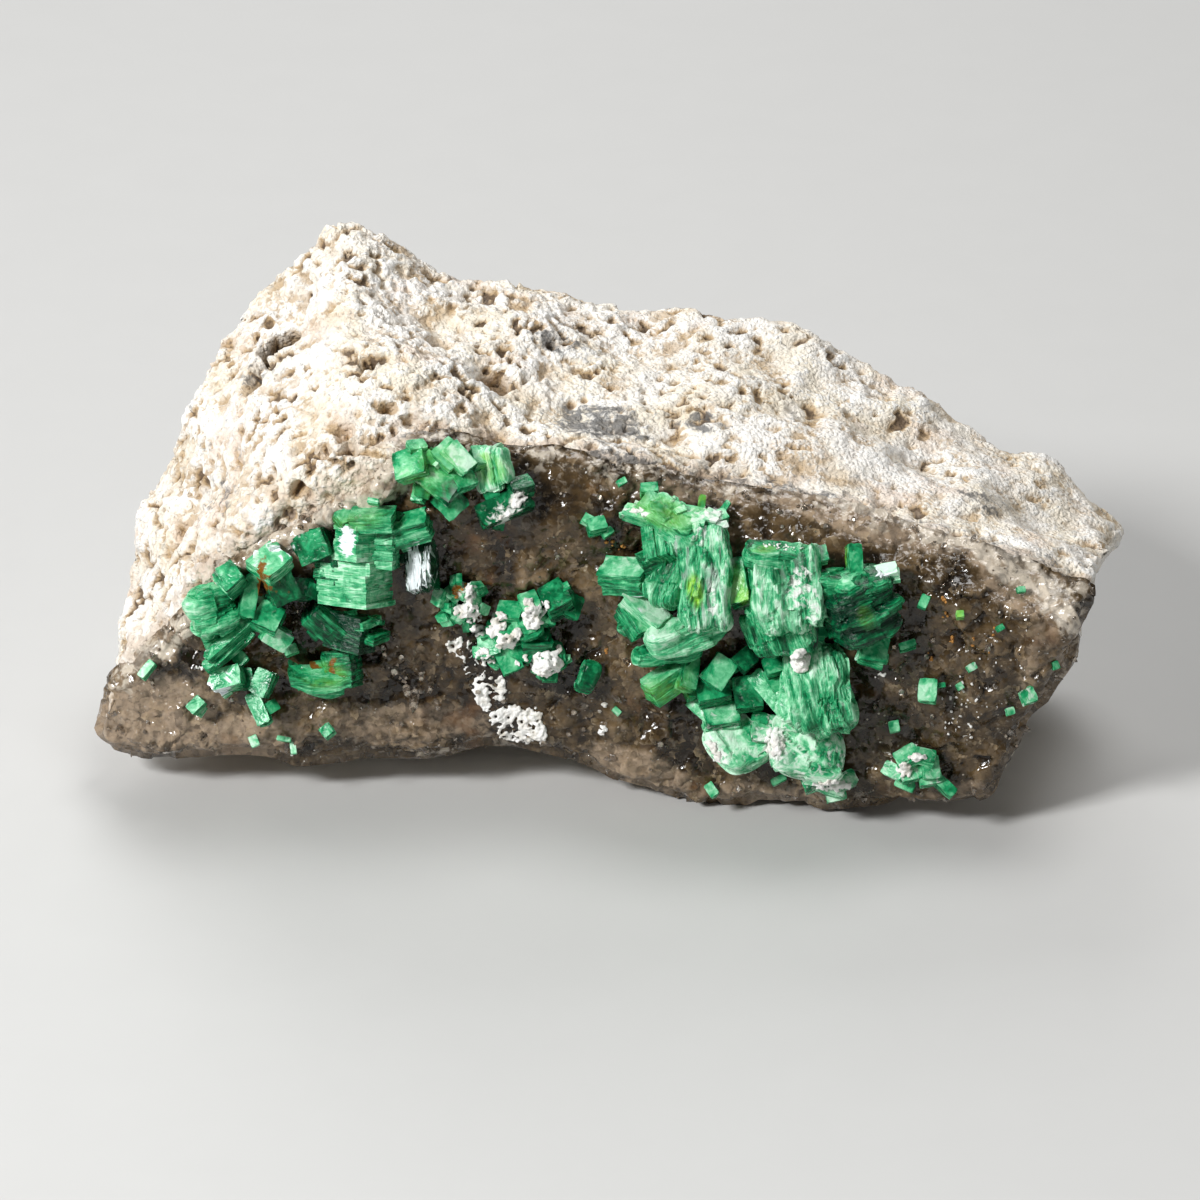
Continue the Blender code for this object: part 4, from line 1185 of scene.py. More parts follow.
@dataclass
class CrystalCluster:
    """Books grown together, as one piece, with small crystals against the sides of the larger ones."""

    node: str
    books: list[Book]
    seed: int
    replaced: bool = True
    small: int = 2
    least_side: float = 0.9
    lump_height: float = 0.07
    lump_spacing: float = 0.55

    def satellites(self, chance: np.random.Generator) -> list[Book]:
        """Sets small crystals against the sides of the larger books.

        Args:
            chance: Where the random numbers come from.

        Returns:
            The small crystals.
        """
        grown = []
        for book in self.books:
            if book.width * book.height < self.least_side or book.form is MASS:
                continue
            for _ in range(self.small):
                turn = chance.uniform(0.0, math.tau)
                reach = 0.22 * (book.width + book.height) * MM / VIEW.unit
                size = chance.uniform(0.35, 0.7)
                axis = tuple(np.array(book.axis) + chance.normal(size=3) * 0.25)
                grown.append(Book(book.px + math.cos(turn) * reach, book.py + math.sin(turn) * reach,
                                  book.out * chance.uniform(0.6, 1.0), size, size * chance.uniform(0.5, 1.0),
                                  chance.uniform(0.16, 0.36), axis, book.spin + chance.normal() * 20.0,
                                  book.tone + chance.uniform(-0.1, 0.16), book.frost))
        return grown

    def build(self, rock: BVHTree, leaf: Mesh, block: Mesh, material: Material) -> Piece:
        """Makes the cluster and dresses it.

        Args:
            rock: The surface that the books stand on.
            leaf: The unit leaf.
            block: The divided unit cube.
            material: The finish.

        Returns:
            The finished piece.
        """
        chance = np.random.default_rng(self.seed)
        bm = bmesh.new()
        own, tones, frosts, weather = [], [], [], []
        for book in self.books + self.satellites(chance):
            middle = np.array(VIEW.seen_point(rock, book.px, book.py) + VIEW.eye * book.out * MM)
            turn, massive = book.turned(), book.form is MASS
            scratch = (block if massive else leaf).copy()
            grower = WornBlock(book, chance) if massive else LeafStack(book, chance)
            for points, inside, shades in grower.grow(points_of(scratch)):
                placed = points @ turn.T + middle
                if book.form is BARREL:
                    lumps = [noise.noise_vector(Vector(point) / (self.lump_spacing * MM)) for point in placed]
                    placed += np.array(lumps) * self.lump_height * MM
                set_points(scratch, placed)
                bm.from_mesh(scratch)
                own.append(inside)
                tones.append(shades)
                frosts.append(np.full(len(inside), book.frost))
                weather.append(np.full(len(inside), book.weathered))
            bpy.data.meshes.remove(scratch)
        mesh = mesh_from(bm, self.node)
        x, y = VIEW.project(points_of(mesh))
        marks = {name: covered(patches, x, y) for name, patches in MARKS.items()}
        marks["frost"] = np.maximum(np.concatenate(frosts), marks["frost"])
        store(mesh, leaf=np.concatenate(own), tone=np.concatenate(tones),
              weathered=np.concatenate(weather), **marks)
        name = self.node + "_leaves" if self.replaced else self.node
        return place_piece(name, mesh, material, "torbernite", *([self.node] if self.replaced else []))


def rosette_books(px: float = 461, py: float = 603, petals: int = 23) -> list[Book]:
    """Lays out the petals of the small rosette, leaning outwards round its middle in two rings."""
    books = []
    for i in range(petals):
        turn = math.tau * i / petals * 2.0
        right, up = math.cos(turn), math.sin(turn)
        radius = (0.80 if i % 2 else 0.46) * MM / VIEW.unit
        books.append(Book(px + right * radius, py - up * radius, 0.3 + 0.15 * (i % 2 == 0), 0.62,
                          0.26 + 0.08 * (i % 3), 0.42, (0.75 * right, 0.75 * up, 0.6), 30.0 * i,
                          0.5 + 0.1 * (i % 3)))
    return books


CLUSTERS: dict[str, list[Book]] = {
    "left_fan_cluster": table(
        Book,
        (218, 609, 0.5, 1.85, 1.6, 1.85, (-0.25, 1.0, 0.25), 12, 0.5, 0.0, 0.3, MASS),
        (232, 580, 0.8, 1.0, 1.0, 0.9, (-0.25, 0.35, 0.9), 42, 0.5),
        (249, 597, 0.8, 0.6, 1.7, 0.8, (0.25, 0.1, 0.95), -8, 0.5),
        (272, 564, 0.8, 1.35, 1.35, 0.7, (-0.1, 0.62, 0.78), 45, 0.72),
        (283, 588, 0.8, 1.1, 1.25, 0.9, (0.3, -0.1, 0.95), 22, 0.33),
        (303, 590, 0.7, 1.0, 0.95, 0.35, (0.5, 0.05, 0.85), 0, 0.15),
        (268, 619, 0.9, 1.1, 1.1, 1.0, (0.1, 0.3, 0.95), -25, 0.5),
        (276, 636, 0.8, 1.1, 0.8, 0.7, (0.2, -0.35, 0.9), -30, 0.62),
        (232, 640, 0.8, 2.5, 0.45, 0.7, (-0.25, 0.35, 0.9), 42, 0.5),
        (225, 652, 0.6, 2.3, 0.5, 0.7, (-0.25, 0.4, 0.9), 40, 0.52),
        (228, 680, 0.7, 1.3, 0.85, 1.0, (-0.35, 0.2, 0.9), 10, 0.6),
        (262, 684, 0.6, 0.75, 1.05, 0.8, (-0.25, 0.1, 0.95), -25, 0.45),
        (245, 680, 0.4, 0.7, 0.8, 0.8, (-0.2, 0.1, 0.95), 5, 0.3),
        (257, 710, 0.6, 0.6, 1.4, 0.5, (-0.2, 0.2, 0.95), 25, 0.62),
        (268, 708, 0.5, 0.6, 0.5, 0.4, (0.3, 0.2, 0.9), 30, 0.5),
        (211, 637, 0.4, 0.85, 0.7, 0.6, (-0.2, 0.8, 0.6), 10, 0.55)),
    "big_book_cluster": table(
        Book,
        (318, 547, 0.5, 1.3, 1.2, 1.0, (-0.35, -0.1, 0.95), 22, 0.32),
        (346, 521, 0.5, 0.75, 0.7, 0.6, (0.15, 0.65, 0.7), 35, 0.5),
        (376, 520, 0.8, 1.7, 1.3, 0.6, (-0.05, 0.9, 0.4), -10, 0.62),
        (359, 581, 0.9, 2.45, 2.1, 1.75, (0.02, 1.0, 0.16), -31, 0.82),
        (361, 542, 0.8, 1.5, 1.5, 1.4, (0.05, 1.0, 0.12), -50, 0.74),
        (381, 548, 0.7, 1.4, 1.3, 1.5, (0.05, 1.0, 0.1), -12, 0.62),
        (408, 531, 0.9, 2.0, 0.95, 1.0, (-0.33, 0.72, 0.6), 0, 0.5),
        (336, 570, 0.5, 1.2, 1.2, 1.4, (-0.1, 1.0, 0.1), -30, 0.4)),
    "glassy_prism": table(Book, (423, 566, 0.6, 2.0, 1.1, 1.0, (1.0, 0.12, 0.3), -12, 0.16)),
    "ledge_slab_cluster": table(
        Book,
        (326, 624, 0.6, 1.7, 1.1, 0.9, (0.65, 0.65, 0.3), 0, 0.22),
        (350, 631, 0.5, 1.7, 1.3, 1.4, (0.15, 0.95, 0.2), -30, 0.06),
        (368, 634, 0.4, 1.5, 1.2, 0.3, (0.1, 0.9, 0.35), -35, 0.45),
        (362, 622, 0.4, 1.4, 1.2, 0.3, (-0.15, 0.95, 0.25), -40, 0.45)),
    "bowl_crystal_cluster": table(
        Book,
        (321, 680, 0.6, 2.6, 1.7, 0.4, (0.0, 0.93, 0.37), 0, 0.58, 0.0, 0.25, BOWL),
        (323, 687, 0.6, 2.0, 1.4, 0.4, (0.02, 0.93, 0.3), 0, 0.62, 0.0, 0.25, BOWL),
        (326, 692, 0.5, 1.3, 1.1, 0.3, (0.02, 0.93, 0.3), 5, 0.66, 0.0, 0.25, BOWL),
        (344, 669, 0.6, 1.1, 1.0, 1.4, (-0.1, 1.0, 0.15), -25, 0.3),
        (328, 664, 0.5, 0.55, 0.7, 0.8, (0.1, 1.0, 0.2), 20, 0.5)),
    "top_tablet_cluster": table(
        Book,
        (419, 452, 0.4, 0.75, 0.65, 0.6, (0.1, 0.75, 0.6), 20, 0.5),
        (414, 468, 0.4, 1.3, 1.2, 0.6, (-0.35, 0.35, 0.85), 10, 0.52),
        (460, 461, 0.9, 1.3, 0.75, 0.5, (0.25, 0.35, 0.9), -45, 0.75),
        (449, 459, 0.7, 1.1, 1.0, 0.8, (0.2, 0.3, 0.9), -42, 0.7),
        (440, 479, 0.6, 1.9, 1.4, 0.9, (0.1, 0.15, 1.0), -38, 0.36, 0.0, 1.3),
        (466, 484, 0.6, 0.9, 0.6, 0.5, (0.3, 0.5, 0.8), 28, 0.6),
        (451, 502, 0.5, 1.1, 1.15, 0.8, (0.1, -0.2, 0.95), 42, 0.42, 0.0, 0.8),
        (422, 493, 0.3, 0.5, 0.9, 0.5, (-0.3, 0.3, 0.9), -15, 0.5)),
    "barrel_book": table(
        Book,
        (495, 470, 0.5, 1.6, 1.1, 1.4, (0.9, 0.2, 0.4), 8, 0.76, 0.0, 0.3, MASS),
        (484, 462, 0.5, 1.1, 0.9, 0.7, (0.3, 0.6, 0.7), 20, 0.7)),
    "dark_tablet": table(
        Book,
        (505, 508, 0.4, 2.2, 1.0, 0.7, (0.1, 0.3, 0.95), 30, 0.2),
        (522, 489, 0.4, 1.0, 0.75, 0.6, (0.1, 0.7, 0.7), 28, 0.3)),
    "small_rosette": rosette_books(),
    "dusted_cluster": table(
        Book,
        (557, 599, 0.4, 1.1, 1.3, 0.9, (-0.2, 0.5, 0.85), 25, 0.3),
        (572, 606, 0.3, 0.7, 1.0, 0.3, (0.5, 0.2, 0.8), -20, 0.5),
        (530, 606, 0.4, 0.8, 0.9, 0.7, (0.0, 0.6, 0.8), 20, 0.5),
        (545, 615, 0.3, 0.8, 0.9, 0.6, (0.2, 0.3, 0.9), 0, 0.5),
        (509, 613, 0.3, 1.0, 0.8, 0.5, (-0.1, 0.5, 0.85), -10, 0.6),
        (505, 630, 0.3, 1.1, 1.1, 0.7, (-0.1, 0.3, 0.9), 15, 0.5, 0.0, 0.25, BARREL),
        (528, 626, 0.4, 1.2, 1.1, 0.7, (0.1, 0.2, 0.95), 30, 0.45, 0.0, 0.25, BARREL),
        (490, 645, 0.3, 0.9, 1.0, 0.5, (-0.3, 0.2, 0.9), 15, 0.6),
        (507, 657, 0.4, 0.9, 1.3, 0.6, (0.0, 0.1, 1.0), 25, 0.5),
        (535, 645, 0.4, 1.3, 0.8, 0.7, (0.1, 0.7, 0.6), 10, 0.38),
        (549, 661, 0.4, 1.35, 1.2, 0.7, (0.0, 0.2, 1.0), 30, 0.5, 0.0, 0.25, BARREL),
        (522, 652, 0.3, 0.9, 0.8, 0.5, (0.1, 0.3, 0.9), -20, 0.45)),
    "bead_crystal": table(Book, (588, 678, 0.3, 0.85, 1.3, 0.8, (0.1, 0.1, 1.0), -22, 0.3, 0.0, 0.3, MASS)),
    "right_cluster": table(
        Book,
        (636, 515, 0.4, 1.1, 0.6, 0.5, (0.0, 0.6, 0.8), -20, 0.75),
        (672, 522, 0.8, 2.4, 1.5, 1.1, (0.35, 0.7, 0.6), -24, 0.58, 0.0, 0.4, MASS),
        (655, 508, 0.7, 1.3, 0.9, 0.6, (0.2, 0.6, 0.8), -30, 0.7),
        (662, 545, 0.7, 1.5, 1.1, 1.2, (0.9, 0.3, 0.4), -20, 0.55),
        (700, 519, 0.6, 1.4, 0.7, 0.5, (0.1, 0.7, 0.6), -12, 0.7),
        (715, 520, 0.5, 0.9, 0.5, 0.4, (0.1, 0.5, 0.8), 25, 0.7),
        (702, 576, 1.2, 4.1, 1.4, 2.1, (1.0, 0.05, 0.15), 0, 0.6, 0.02, 1.3, MASS),
        (716, 578, 0.9, 0.9, 3.0, 0.9, (0.3, 0.05, 0.95), 2, 0.4, 0.0, 1.0),
        (655, 560, 0.7, 1.3, 1.1, 0.8, (-0.3, 0.9, 0.3), 20),
        (626, 577, 0.7, 1.9, 1.1, 1.1, (-0.25, 0.75, 0.6), -22, 0.58),
        (666, 578, 0.8, 2.3, 1.3, 1.5, (0.95, -0.2, 0.35), -14, 0.44, 0.0, 0.3, MASS),
        (645, 610, 1.0, 2.1, 1.0, 0.7, (0.3, 0.5, 0.8), -42, 0.8),
        (633, 621, 0.9, 1.4, 0.7, 0.8, (0.4, 0.5, 0.7), -52, 0.5),
        (688, 634, 1.1, 3.2, 1.2, 1.15, (-0.25, 0.8, 0.55), 12, 0.64, 0.0, 0.4, MASS),
        (668, 653, 0.8, 2.5, 1.0, 0.8, (-0.15, 0.8, 0.45), 0, 0.42, 0.0, 0.6, MASS),
        (740, 582, 0.9, 1.1, 1.9, 1.0, (-0.5, 0.1, 0.85), 14, 0.5, 0.0, 1.2),
        (757, 581, 1.2, 0.6, 2.5, 1.1, (0.0, 0.05, 1.0), 0, 0.5),
        (785, 588, 1.2, 3.1, 1.5, 2.9, (1.0, 0.12, 0.1), 4, 0.56, 0.0, 1.0, MASS),
        (778, 628, 1.1, 2.3, 1.4, 2.5, (1.0, 0.35, 0.2), 10, 0.38, 0.0, 0.7, MASS),
        (776, 557, 0.9, 2.5, 1.3, 0.9, (0.12, 0.9, 0.4), 0, 0.46, 0.0, 0.8, MASS),
        (808, 624, 0.9, 0.5, 1.9, 0.8, (0.25, 0.0, 1.0), 0, 0.4, 0.0, 1.0),
        (812, 558, 0.6, 1.0, 0.7, 0.5, (0.0, 0.5, 0.9), 10, 0.6, 0.0, 1.0),
        (857, 609, 1.1, 2.7, 2.2, 2.6, (-0.3, 0.85, 0.4), 25, 0.04, 0.0, 0.35, MASS),
        (859, 583, 0.9, 2.1, 1.8, 0.8, (-0.2, 0.9, 0.45), 10, 0.26, 0.0, 0.4, MASS),
        (832, 584, 0.9, 1.5, 1.3, 0.9, (0.0, 0.9, 0.3), 0, 0.3, 0.0, 0.4, MASS),
        (851, 560, 0.5, 0.55, 1.2, 0.6, (0.2, 0.2, 1.0), 3, 0.5),
        (882, 574, 0.5, 1.0, 0.7, 0.5, (-0.15, 0.7, 0.7), 5, 0.85),
        (872, 650, 0.7, 1.0, 1.1, 0.7, (0.1, 0.35, 0.93), -12, 0.55),
        (668, 681, 0.6, 1.9, 1.1, 0.9, (-0.4, 0.75, 0.5), 26, 0.6),
        (688, 673, 0.6, 0.7, 1.4, 0.6, (0.5, 0.2, 0.8), -10, 0.4),
        (694, 690, 0.4, 0.8, 0.7, 0.5, (0.2, 0.4, 0.9), 25, 0.4),
        (719, 672, 0.7, 1.0, 1.3, 0.8, (0.1, 0.15, 1.0), -35, 0.55),
        (714, 694, 0.6, 1.4, 0.9, 0.8, (0.0, 0.4, 0.9), 15, 0.45),
        (745, 661, 0.7, 0.8, 0.8, 0.4, (0.1, 0.3, 0.95), 42, 0.15),
        (748, 694, 0.6, 1.1, 1.3, 0.9, (0.0, 0.3, 0.95), 10, 0.4),
        (770, 692, 0.8, 0.7, 2.0, 0.7, (-0.2, 0.2, 0.95), 40, 0.62),
        (784, 692, 0.8, 0.8, 2.2, 0.7, (0.1, 0.3, 0.95), 36, 0.6),
        (775, 668, 0.7, 0.9, 0.8, 0.6, (0.0, 0.6, 0.8), 20, 0.4),
        (820, 690, 1.1, 3.3, 1.6, 2.4, (1.0, 0.15, 0.2), -4, 0.52, 0.05, 0.9, MASS),
        (799, 694, 1.1, 1.3, 2.0, 1.3, (-0.4, 0.1, 0.9), 6, 0.58, 0.0, 0.8, MASS),
        (741, 745, 0.9, 2.0, 2.1, 1.2, (-0.1, 0.35, 0.93), 34, 0.74, 0.18, 0.9, MASS),
        (703, 710, 0.5, 1.2, 0.7, 0.6, (-0.2, 0.3, 0.95), -42, 0.68, 0.2),
        (722, 718, 0.6, 1.4, 1.1, 0.8, (0.0, 0.5, 0.85), 10, 0.65, 0.2, 1.0),
        (808, 750, 1.0, 2.8, 2.2, 1.3, (0.1, 0.2, 0.97), -6, 0.68, 0.3, 1.0, MASS),
        (764, 731, 0.7, 1.0, 1.1, 1.0, (0.1, 0.3, 0.95), 0, 0.55, 0.3, 1.0),
        (816, 782, 0.8, 1.0, 0.6, 0.6, (-0.2, 0.4, 0.9), 20, 0.7, 0.2, 1.0),
        (833, 787, 0.8, 1.1, 0.7, 0.5, (0.1, 0.3, 0.9), -18, 0.66, 0.2, 1.0),
        (846, 782, 0.7, 0.9, 0.6, 0.5, (0.2, 0.4, 0.9), 32, 0.62, 0.3, 1.0),
        (838, 797, 0.6, 0.8, 0.5, 0.5, (0.1, 0.1, 0.95), 8, 0.6, 0.2, 1.0)),
    "lower_flakes": table(
        Book,
        (908, 757, 0.45, 1.0, 0.7, 0.5, (-0.3, 0.5, 0.8), 24, 0.68, 0.15),
        (924, 757, 0.5, 0.9, 0.6, 0.4, (0.2, 0.6, 0.8), -14, 0.66, 0.1),
        (931, 768, 0.45, 0.7, 1.0, 0.4, (0.3, 0.2, 0.9), 8, 0.6, 0.15),
        (897, 772, 0.4, 1.0, 0.6, 0.4, (-0.4, 0.3, 0.9), -30, 0.7, 0.2),
        (913, 772, 0.5, 1.1, 0.8, 0.5, (0.0, 0.3, 0.95), 14, 0.6, 0.25),
        (906, 785, 0.4, 0.8, 0.4, 0.4, (-0.1, 0.1, 0.95), -20, 0.64, 0.2),
        (930, 779, 0.45, 0.9, 0.6, 0.4, (0.1, 0.3, 0.95), 10, 0.6, 0.3),
        (944, 787, 0.45, 1.2, 0.45, 0.5, (0.1, 0.3, 0.95), -40, 0.55)),
    "far_left_lath": table(Book, (143, 671, 0.4, 0.85, 0.35, 0.4, (-0.2, 0.3, 0.9), 48, 0.6)),
    "left_edge_flake": table(Book, (193, 706, 0.4, 0.7, 0.5, 0.4, (-0.2, 0.3, 0.9), 42, 0.6)),
    "foot_diamond_tablet": table(Book, (325, 733, 0.4, 0.5, 0.5, 0.4, (-0.2, 0.3, 0.95), 35, 0.5)),
    "upper_middle_flake": table(Book, (597, 526, 0.4, 0.8, 0.6, 0.5, (0.1, 0.4, 0.9), 15, 0.5)),
    "upper_rim_flake": table(Book, (649, 491, 0.4, 0.7, 0.45, 0.5, (0.0, 0.5, 0.85), 5, 0.55)),
    "foot_lath": table(Book, (713, 792, 0.4, 0.4, 0.6, 0.4, (-0.1, 0.2, 0.95), 35, 0.65)),
    "foot_ellipse_tablet": table(Book, (780, 782, 0.4, 0.65, 0.3, 0.4, (0.0, 0.2, 0.95), 28, 0.6)),
    "upper_right_lath": table(Book, (920, 602, 0.4, 0.35, 0.55, 0.4, (0.0, 0.2, 0.95), -20, 0.5)),
    "right_square_tablet": table(Book, (926, 691, 0.4, 0.75, 0.95, 0.5, (-0.1, 0.2, 0.95), -4, 0.65)),
    "right_small_tablet": table(Book, (894, 727, 0.4, 0.42, 0.45, 0.4, (0.0, 0.2, 0.95), 10, 0.65)),
    "right_strip": table(Book, (905, 646, 0.4, 0.7, 0.3, 0.4, (0.0, 0.3, 0.95), 14, 0.5)),
    "far_right_tablet": table(Book, (1025, 696, 0.4, 0.6, 0.6, 0.4, (0.2, 0.2, 0.95), 20, 0.6, 0.3)),
    "yellow_green_flake": table(Book, (956, 615, 0.35, 0.3, 0.28, 0.4, (0.0, 0.3, 0.95), 5, 0.6)),
}
LOOSE_FLAKES = table(
    Book,
    (290, 651, 0.2, 0.55, 0.4, 0.25, (-0.2, 0.3, 0.9), 20, 0.7),
    (197, 712, 0.15, 0.5, 0.3, 0.2, (-0.2, 0.3, 0.9), 60, 0.75),
    (250, 743, 0.15, 0.35, 0.45, 0.2, (-0.1, 0.2, 0.9), 20, 0.8, 0.2),
    (280, 741, 0.15, 0.6, 0.2, 0.2, (-0.1, 0.2, 0.9), -10, 0.7),
    (290, 750, 0.15, 0.25, 0.5, 0.2, (-0.1, 0.2, 0.9), 10, 0.75),
    (621, 483, 0.2, 0.4, 0.25, 0.2, (0.1, 0.3, 0.9), 30, 0.6, 0.1),
    (701, 503, 0.3, 0.25, 0.6, 0.25, (0.2, 0.2, 0.9), -8, 0.45),
    (724, 508, 0.3, 0.25, 0.6, 0.25, (-0.1, 0.2, 0.9), -35, 0.45),
    (590, 522, 0.3, 0.6, 0.4, 0.3, (0.2, 0.4, 0.9), -25, 0.62),
    (607, 533, 0.2, 0.5, 0.3, 0.25, (0.1, 0.3, 0.9), 35, 0.6),
    (617, 712, 0.2, 0.35, 0.22, 0.2, (0.1, 0.2, 0.9), -40, 0.6),
    (969, 667, 0.2, 0.4, 0.3, 0.2, (0.2, 0.2, 0.9), 25, 0.7, 0.2),
    (1008, 711, 0.2, 0.35, 0.3, 0.2, (0.2, 0.2, 0.9), 15, 0.65),
    (996, 628, 0.2, 0.3, 0.25, 0.2, (0.3, 0.3, 0.9), 40, 0.6),
    (1017, 590, 0.2, 0.35, 0.25, 0.2, (0.3, 0.3, 0.9), 10, 0.62),
    (1052, 665, 0.2, 0.3, 0.35, 0.2, (0.4, 0.2, 0.9), 20, 0.65),
    (1026, 690, 0.2, 0.3, 0.25, 0.2, (0.4, 0.2, 0.9), 50, 0.6),
    (940, 685, 0.2, 0.3, 0.2, 0.2, (0.2, 0.2, 0.9), 0, 0.7),
    (958, 686, 0.2, 0.25, 0.3, 0.2, (0.2, 0.2, 0.9), 30, 0.72),
    (626, 515, 0.4, 0.6, 0.16, 0.3, (0.0, 0.4, 0.9), 15, 0.85, 0.5),
    (640, 507, 0.5, 0.5, 0.18, 0.3, (0.2, 0.5, 0.8), -20, 0.8, 0.4),
    (679, 512, 0.9, 0.5, 0.3, 0.3, (0.1, 0.6, 0.8), 30, 0.72, 0.1),
    (712, 514, 0.7, 0.55, 0.2, 0.3, (0.2, 0.4, 0.9), -30, 0.85, 0.6),
    (720, 527, 0.6, 0.5, 0.3, 0.3, (0.3, 0.4, 0.9), 20, 0.75, 0.3),
    (697, 524, 0.9, 0.6, 0.3, 0.3, (0.0, 0.5, 0.9), -12, 0.78, 0.2))
MARKS = {
    "frost": table(
        Patch,
        (518, 500, 11, 8, -30), (507, 517, 12, 4, -35), (522, 503, 6, 6), (466, 600, 9, 18, 15, 0.7),
        (800, 585, 13, 26, 20, 0.55), (812, 610, 7, 30, 0, 0.5), (775, 745, 12, 18, 0, 0.9),
        (718, 752, 8, 16, -30, 0.7), (635, 512, 14, 5, 10, 0.8), (712, 515, 12, 7, 20, 0.7),
        (838, 787, 22, 8, 0, 0.5), (700, 535, 8, 10, 0, 0.5), (712, 602, 6, 20, 0, 0.4)),
    # Painted glare: ovals where faces that catch the key light are painted pale blue-white.
    "painted_glare": table(
        Patch,
        (347, 541, 9, 17), (216, 688, 15, 9, 0, 0.9), (287, 637, 6, 5), (882, 572, 8, 6, 0, 0.9),
        (414, 570, 8, 28, 0, 0.95), (427, 566, 9, 26, 0, 0.62), (272, 555, 22, 12, -10, 0.75),
        (640, 604, 12, 6, 40, 0.6), (503, 505, 4, 8, 20, 0.6), (462, 460, 10, 8, 0, 0.35)),
    "rust": table(
        Patch,
        (264, 573, 8, 8), (259, 588, 10, 9), (311, 666, 13, 6), (332, 668, 4, 12, 10),
        (457, 590, 6, 6, -40)),
    "lime": table(
        Patch,
        (695, 591, 8, 16, -8), (744, 596, 6, 9, 0, 0.8), (702, 501, 9, 8, 0, 0.5),
        (486, 458, 9, 6, 0, 0.5), (764, 549, 14, 4, 0, 0.4), (845, 556, 3, 9, 0, 0.6),
        (956, 615, 12, 12, 0, 0.6), (430, 470, 34, 26, -30, 0.2), (492, 470, 16, 14, 0, 0.34),
        (662, 512, 34, 16, 20, 0.3), (665, 690, 26, 14, 0, 0.25), (325, 676, 22, 14, 0, 0.3),
        (355, 522, 26, 8, 0, 0.22), (866, 618, 8, 12, -20, 0.15)),
}

# Small pieces on the crust

@dataclass
class QuartzPoints:
    """Small clear quartz points that stand out of the crust.

    named holds the larger ones: place in the view, width and length. A point is sunk by a share of its
    length, and the strewn ones leave the crust bare where it is calmer than bare_below.
    """

    count: int = 1300
    seed: int = 11
    bare_below: float = 0.05
    bare_spacing: float = 1.3
    widths: tuple[float, float] = (0.08, 0.24)
    slender: tuple[float, float] = (1.2, 2.4)
    lean: float = 0.45
    sunk: float = 0.45
    sunk_named: float = 0.2
    steps: tuple[tuple[float, float], ...] = ((0.62, 0.92), (0.38, 0.08))
    named: list[tuple[float, float, float, float]] = field(default_factory=lambda: [
        (413, 698, 0.42, 1.35), (394, 668, 0.34, 0.7), (405, 690, 0.3, 0.7), (398, 654, 0.26, 0.6),
        (420, 676, 0.22, 0.5), (430, 687, 0.2, 0.5), (384, 652, 0.24, 0.5)])
    finish: ClearQuartzFinish = ClearQuartzFinish()

    def template(self) -> Mesh:
        """Makes one six-sided point, a unit wide and high, with its foot at the origin."""
        bm = bmesh.new()
        bmesh.ops.create_circle(bm, cap_ends=True, segments=6, radius=0.5)
        for height, share in self.steps:
            pull_up(bm, [max(bm.faces, key=lambda face: face.calc_center_median().z)], height, share)
        bmesh.ops.recalc_face_normals(bm, faces=bm.faces)
        return mesh_from(bm, "point")

    def build(self, crust: Piece, rock: BVHTree) -> Piece:
        """Strews the points over the crust.

        Args:
            crust: The finished crust.
            rock: The surface that the larger points stand on.

        Returns:
            The finished piece.
        """
        chance = np.random.default_rng(self.seed)
        points, normals = points_of(crust.data), points_of(crust.data, "normal")
        right, up, eye = (np.array(way) for way in (VIEW.right, VIEW.up, VIEW.eye))
        open_side = np.nonzero((normals @ eye > -0.1) & (points[:, 2] > 0.8 * MM))[0]
        stands = []
        for i in chance.choice(open_side, self.count, replace=False):
            if noise.noise(Vector(points[i]) / (self.bare_spacing * MM)) < self.bare_below:
                continue
            width = self.widths[0] + self.widths[1] * chance.random() ** 3
            way = normals[i] + chance.normal(size=3) * self.lean
            stands.append((points[i], way, width, width * chance.uniform(*self.slender), self.sunk))
        for px, py, width, length in self.named:
            way = right * chance.uniform(-0.5, 0.5) - up * 0.7 + eye
            stands.append((np.array(VIEW.seen_point(rock, px, py)), way, width, length, self.sunk_named))
        unit = self.template()
        shape = points_of(unit)
        bm = bmesh.new()
        for foot, way, width, length, sunk in stands:
            turn = np.array(Vector(way).to_track_quat("Z", "Y").to_matrix())
            placed = (shape - (0.0, 0.0, sunk)) * (width * MM, width * MM, length * MM)
            set_points(unit, placed @ turn.T + foot)
            bm.from_mesh(unit)
        bpy.data.meshes.remove(unit)
        return place_piece("quartz_points", mesh_from(bm, "points"), self.finish.build(), "smoky_quartz")


def crumb(bm: BMesh, at: Vector, radius: float, stretch: np.ndarray) -> None:
    """Adds one crumb, stretched along the three axes.

    Args:
        bm: Where it is added.
        at: Its middle, in metres.
        radius: Its radius, in millimetres.
        stretch: How far it is stretched along each axis.
    """
    place = Matrix.Translation(at) @ Matrix.Diagonal((*stretch, 1.0))
    bmesh.ops.create_icosphere(bm, subdivisions=1, radius=radius * MM, matrix=place)


@dataclass(frozen=True)
class Heap:
    """A spot strewn with crumbs: an oval of the front view, a count, a crumb's size and the heap's height."""

    px: float
    py: float
    across: float
    down: float
    count: int
    size: float = 0.16
    height: float = 0.0
    turn: float = 0.0
    lacy: bool = False


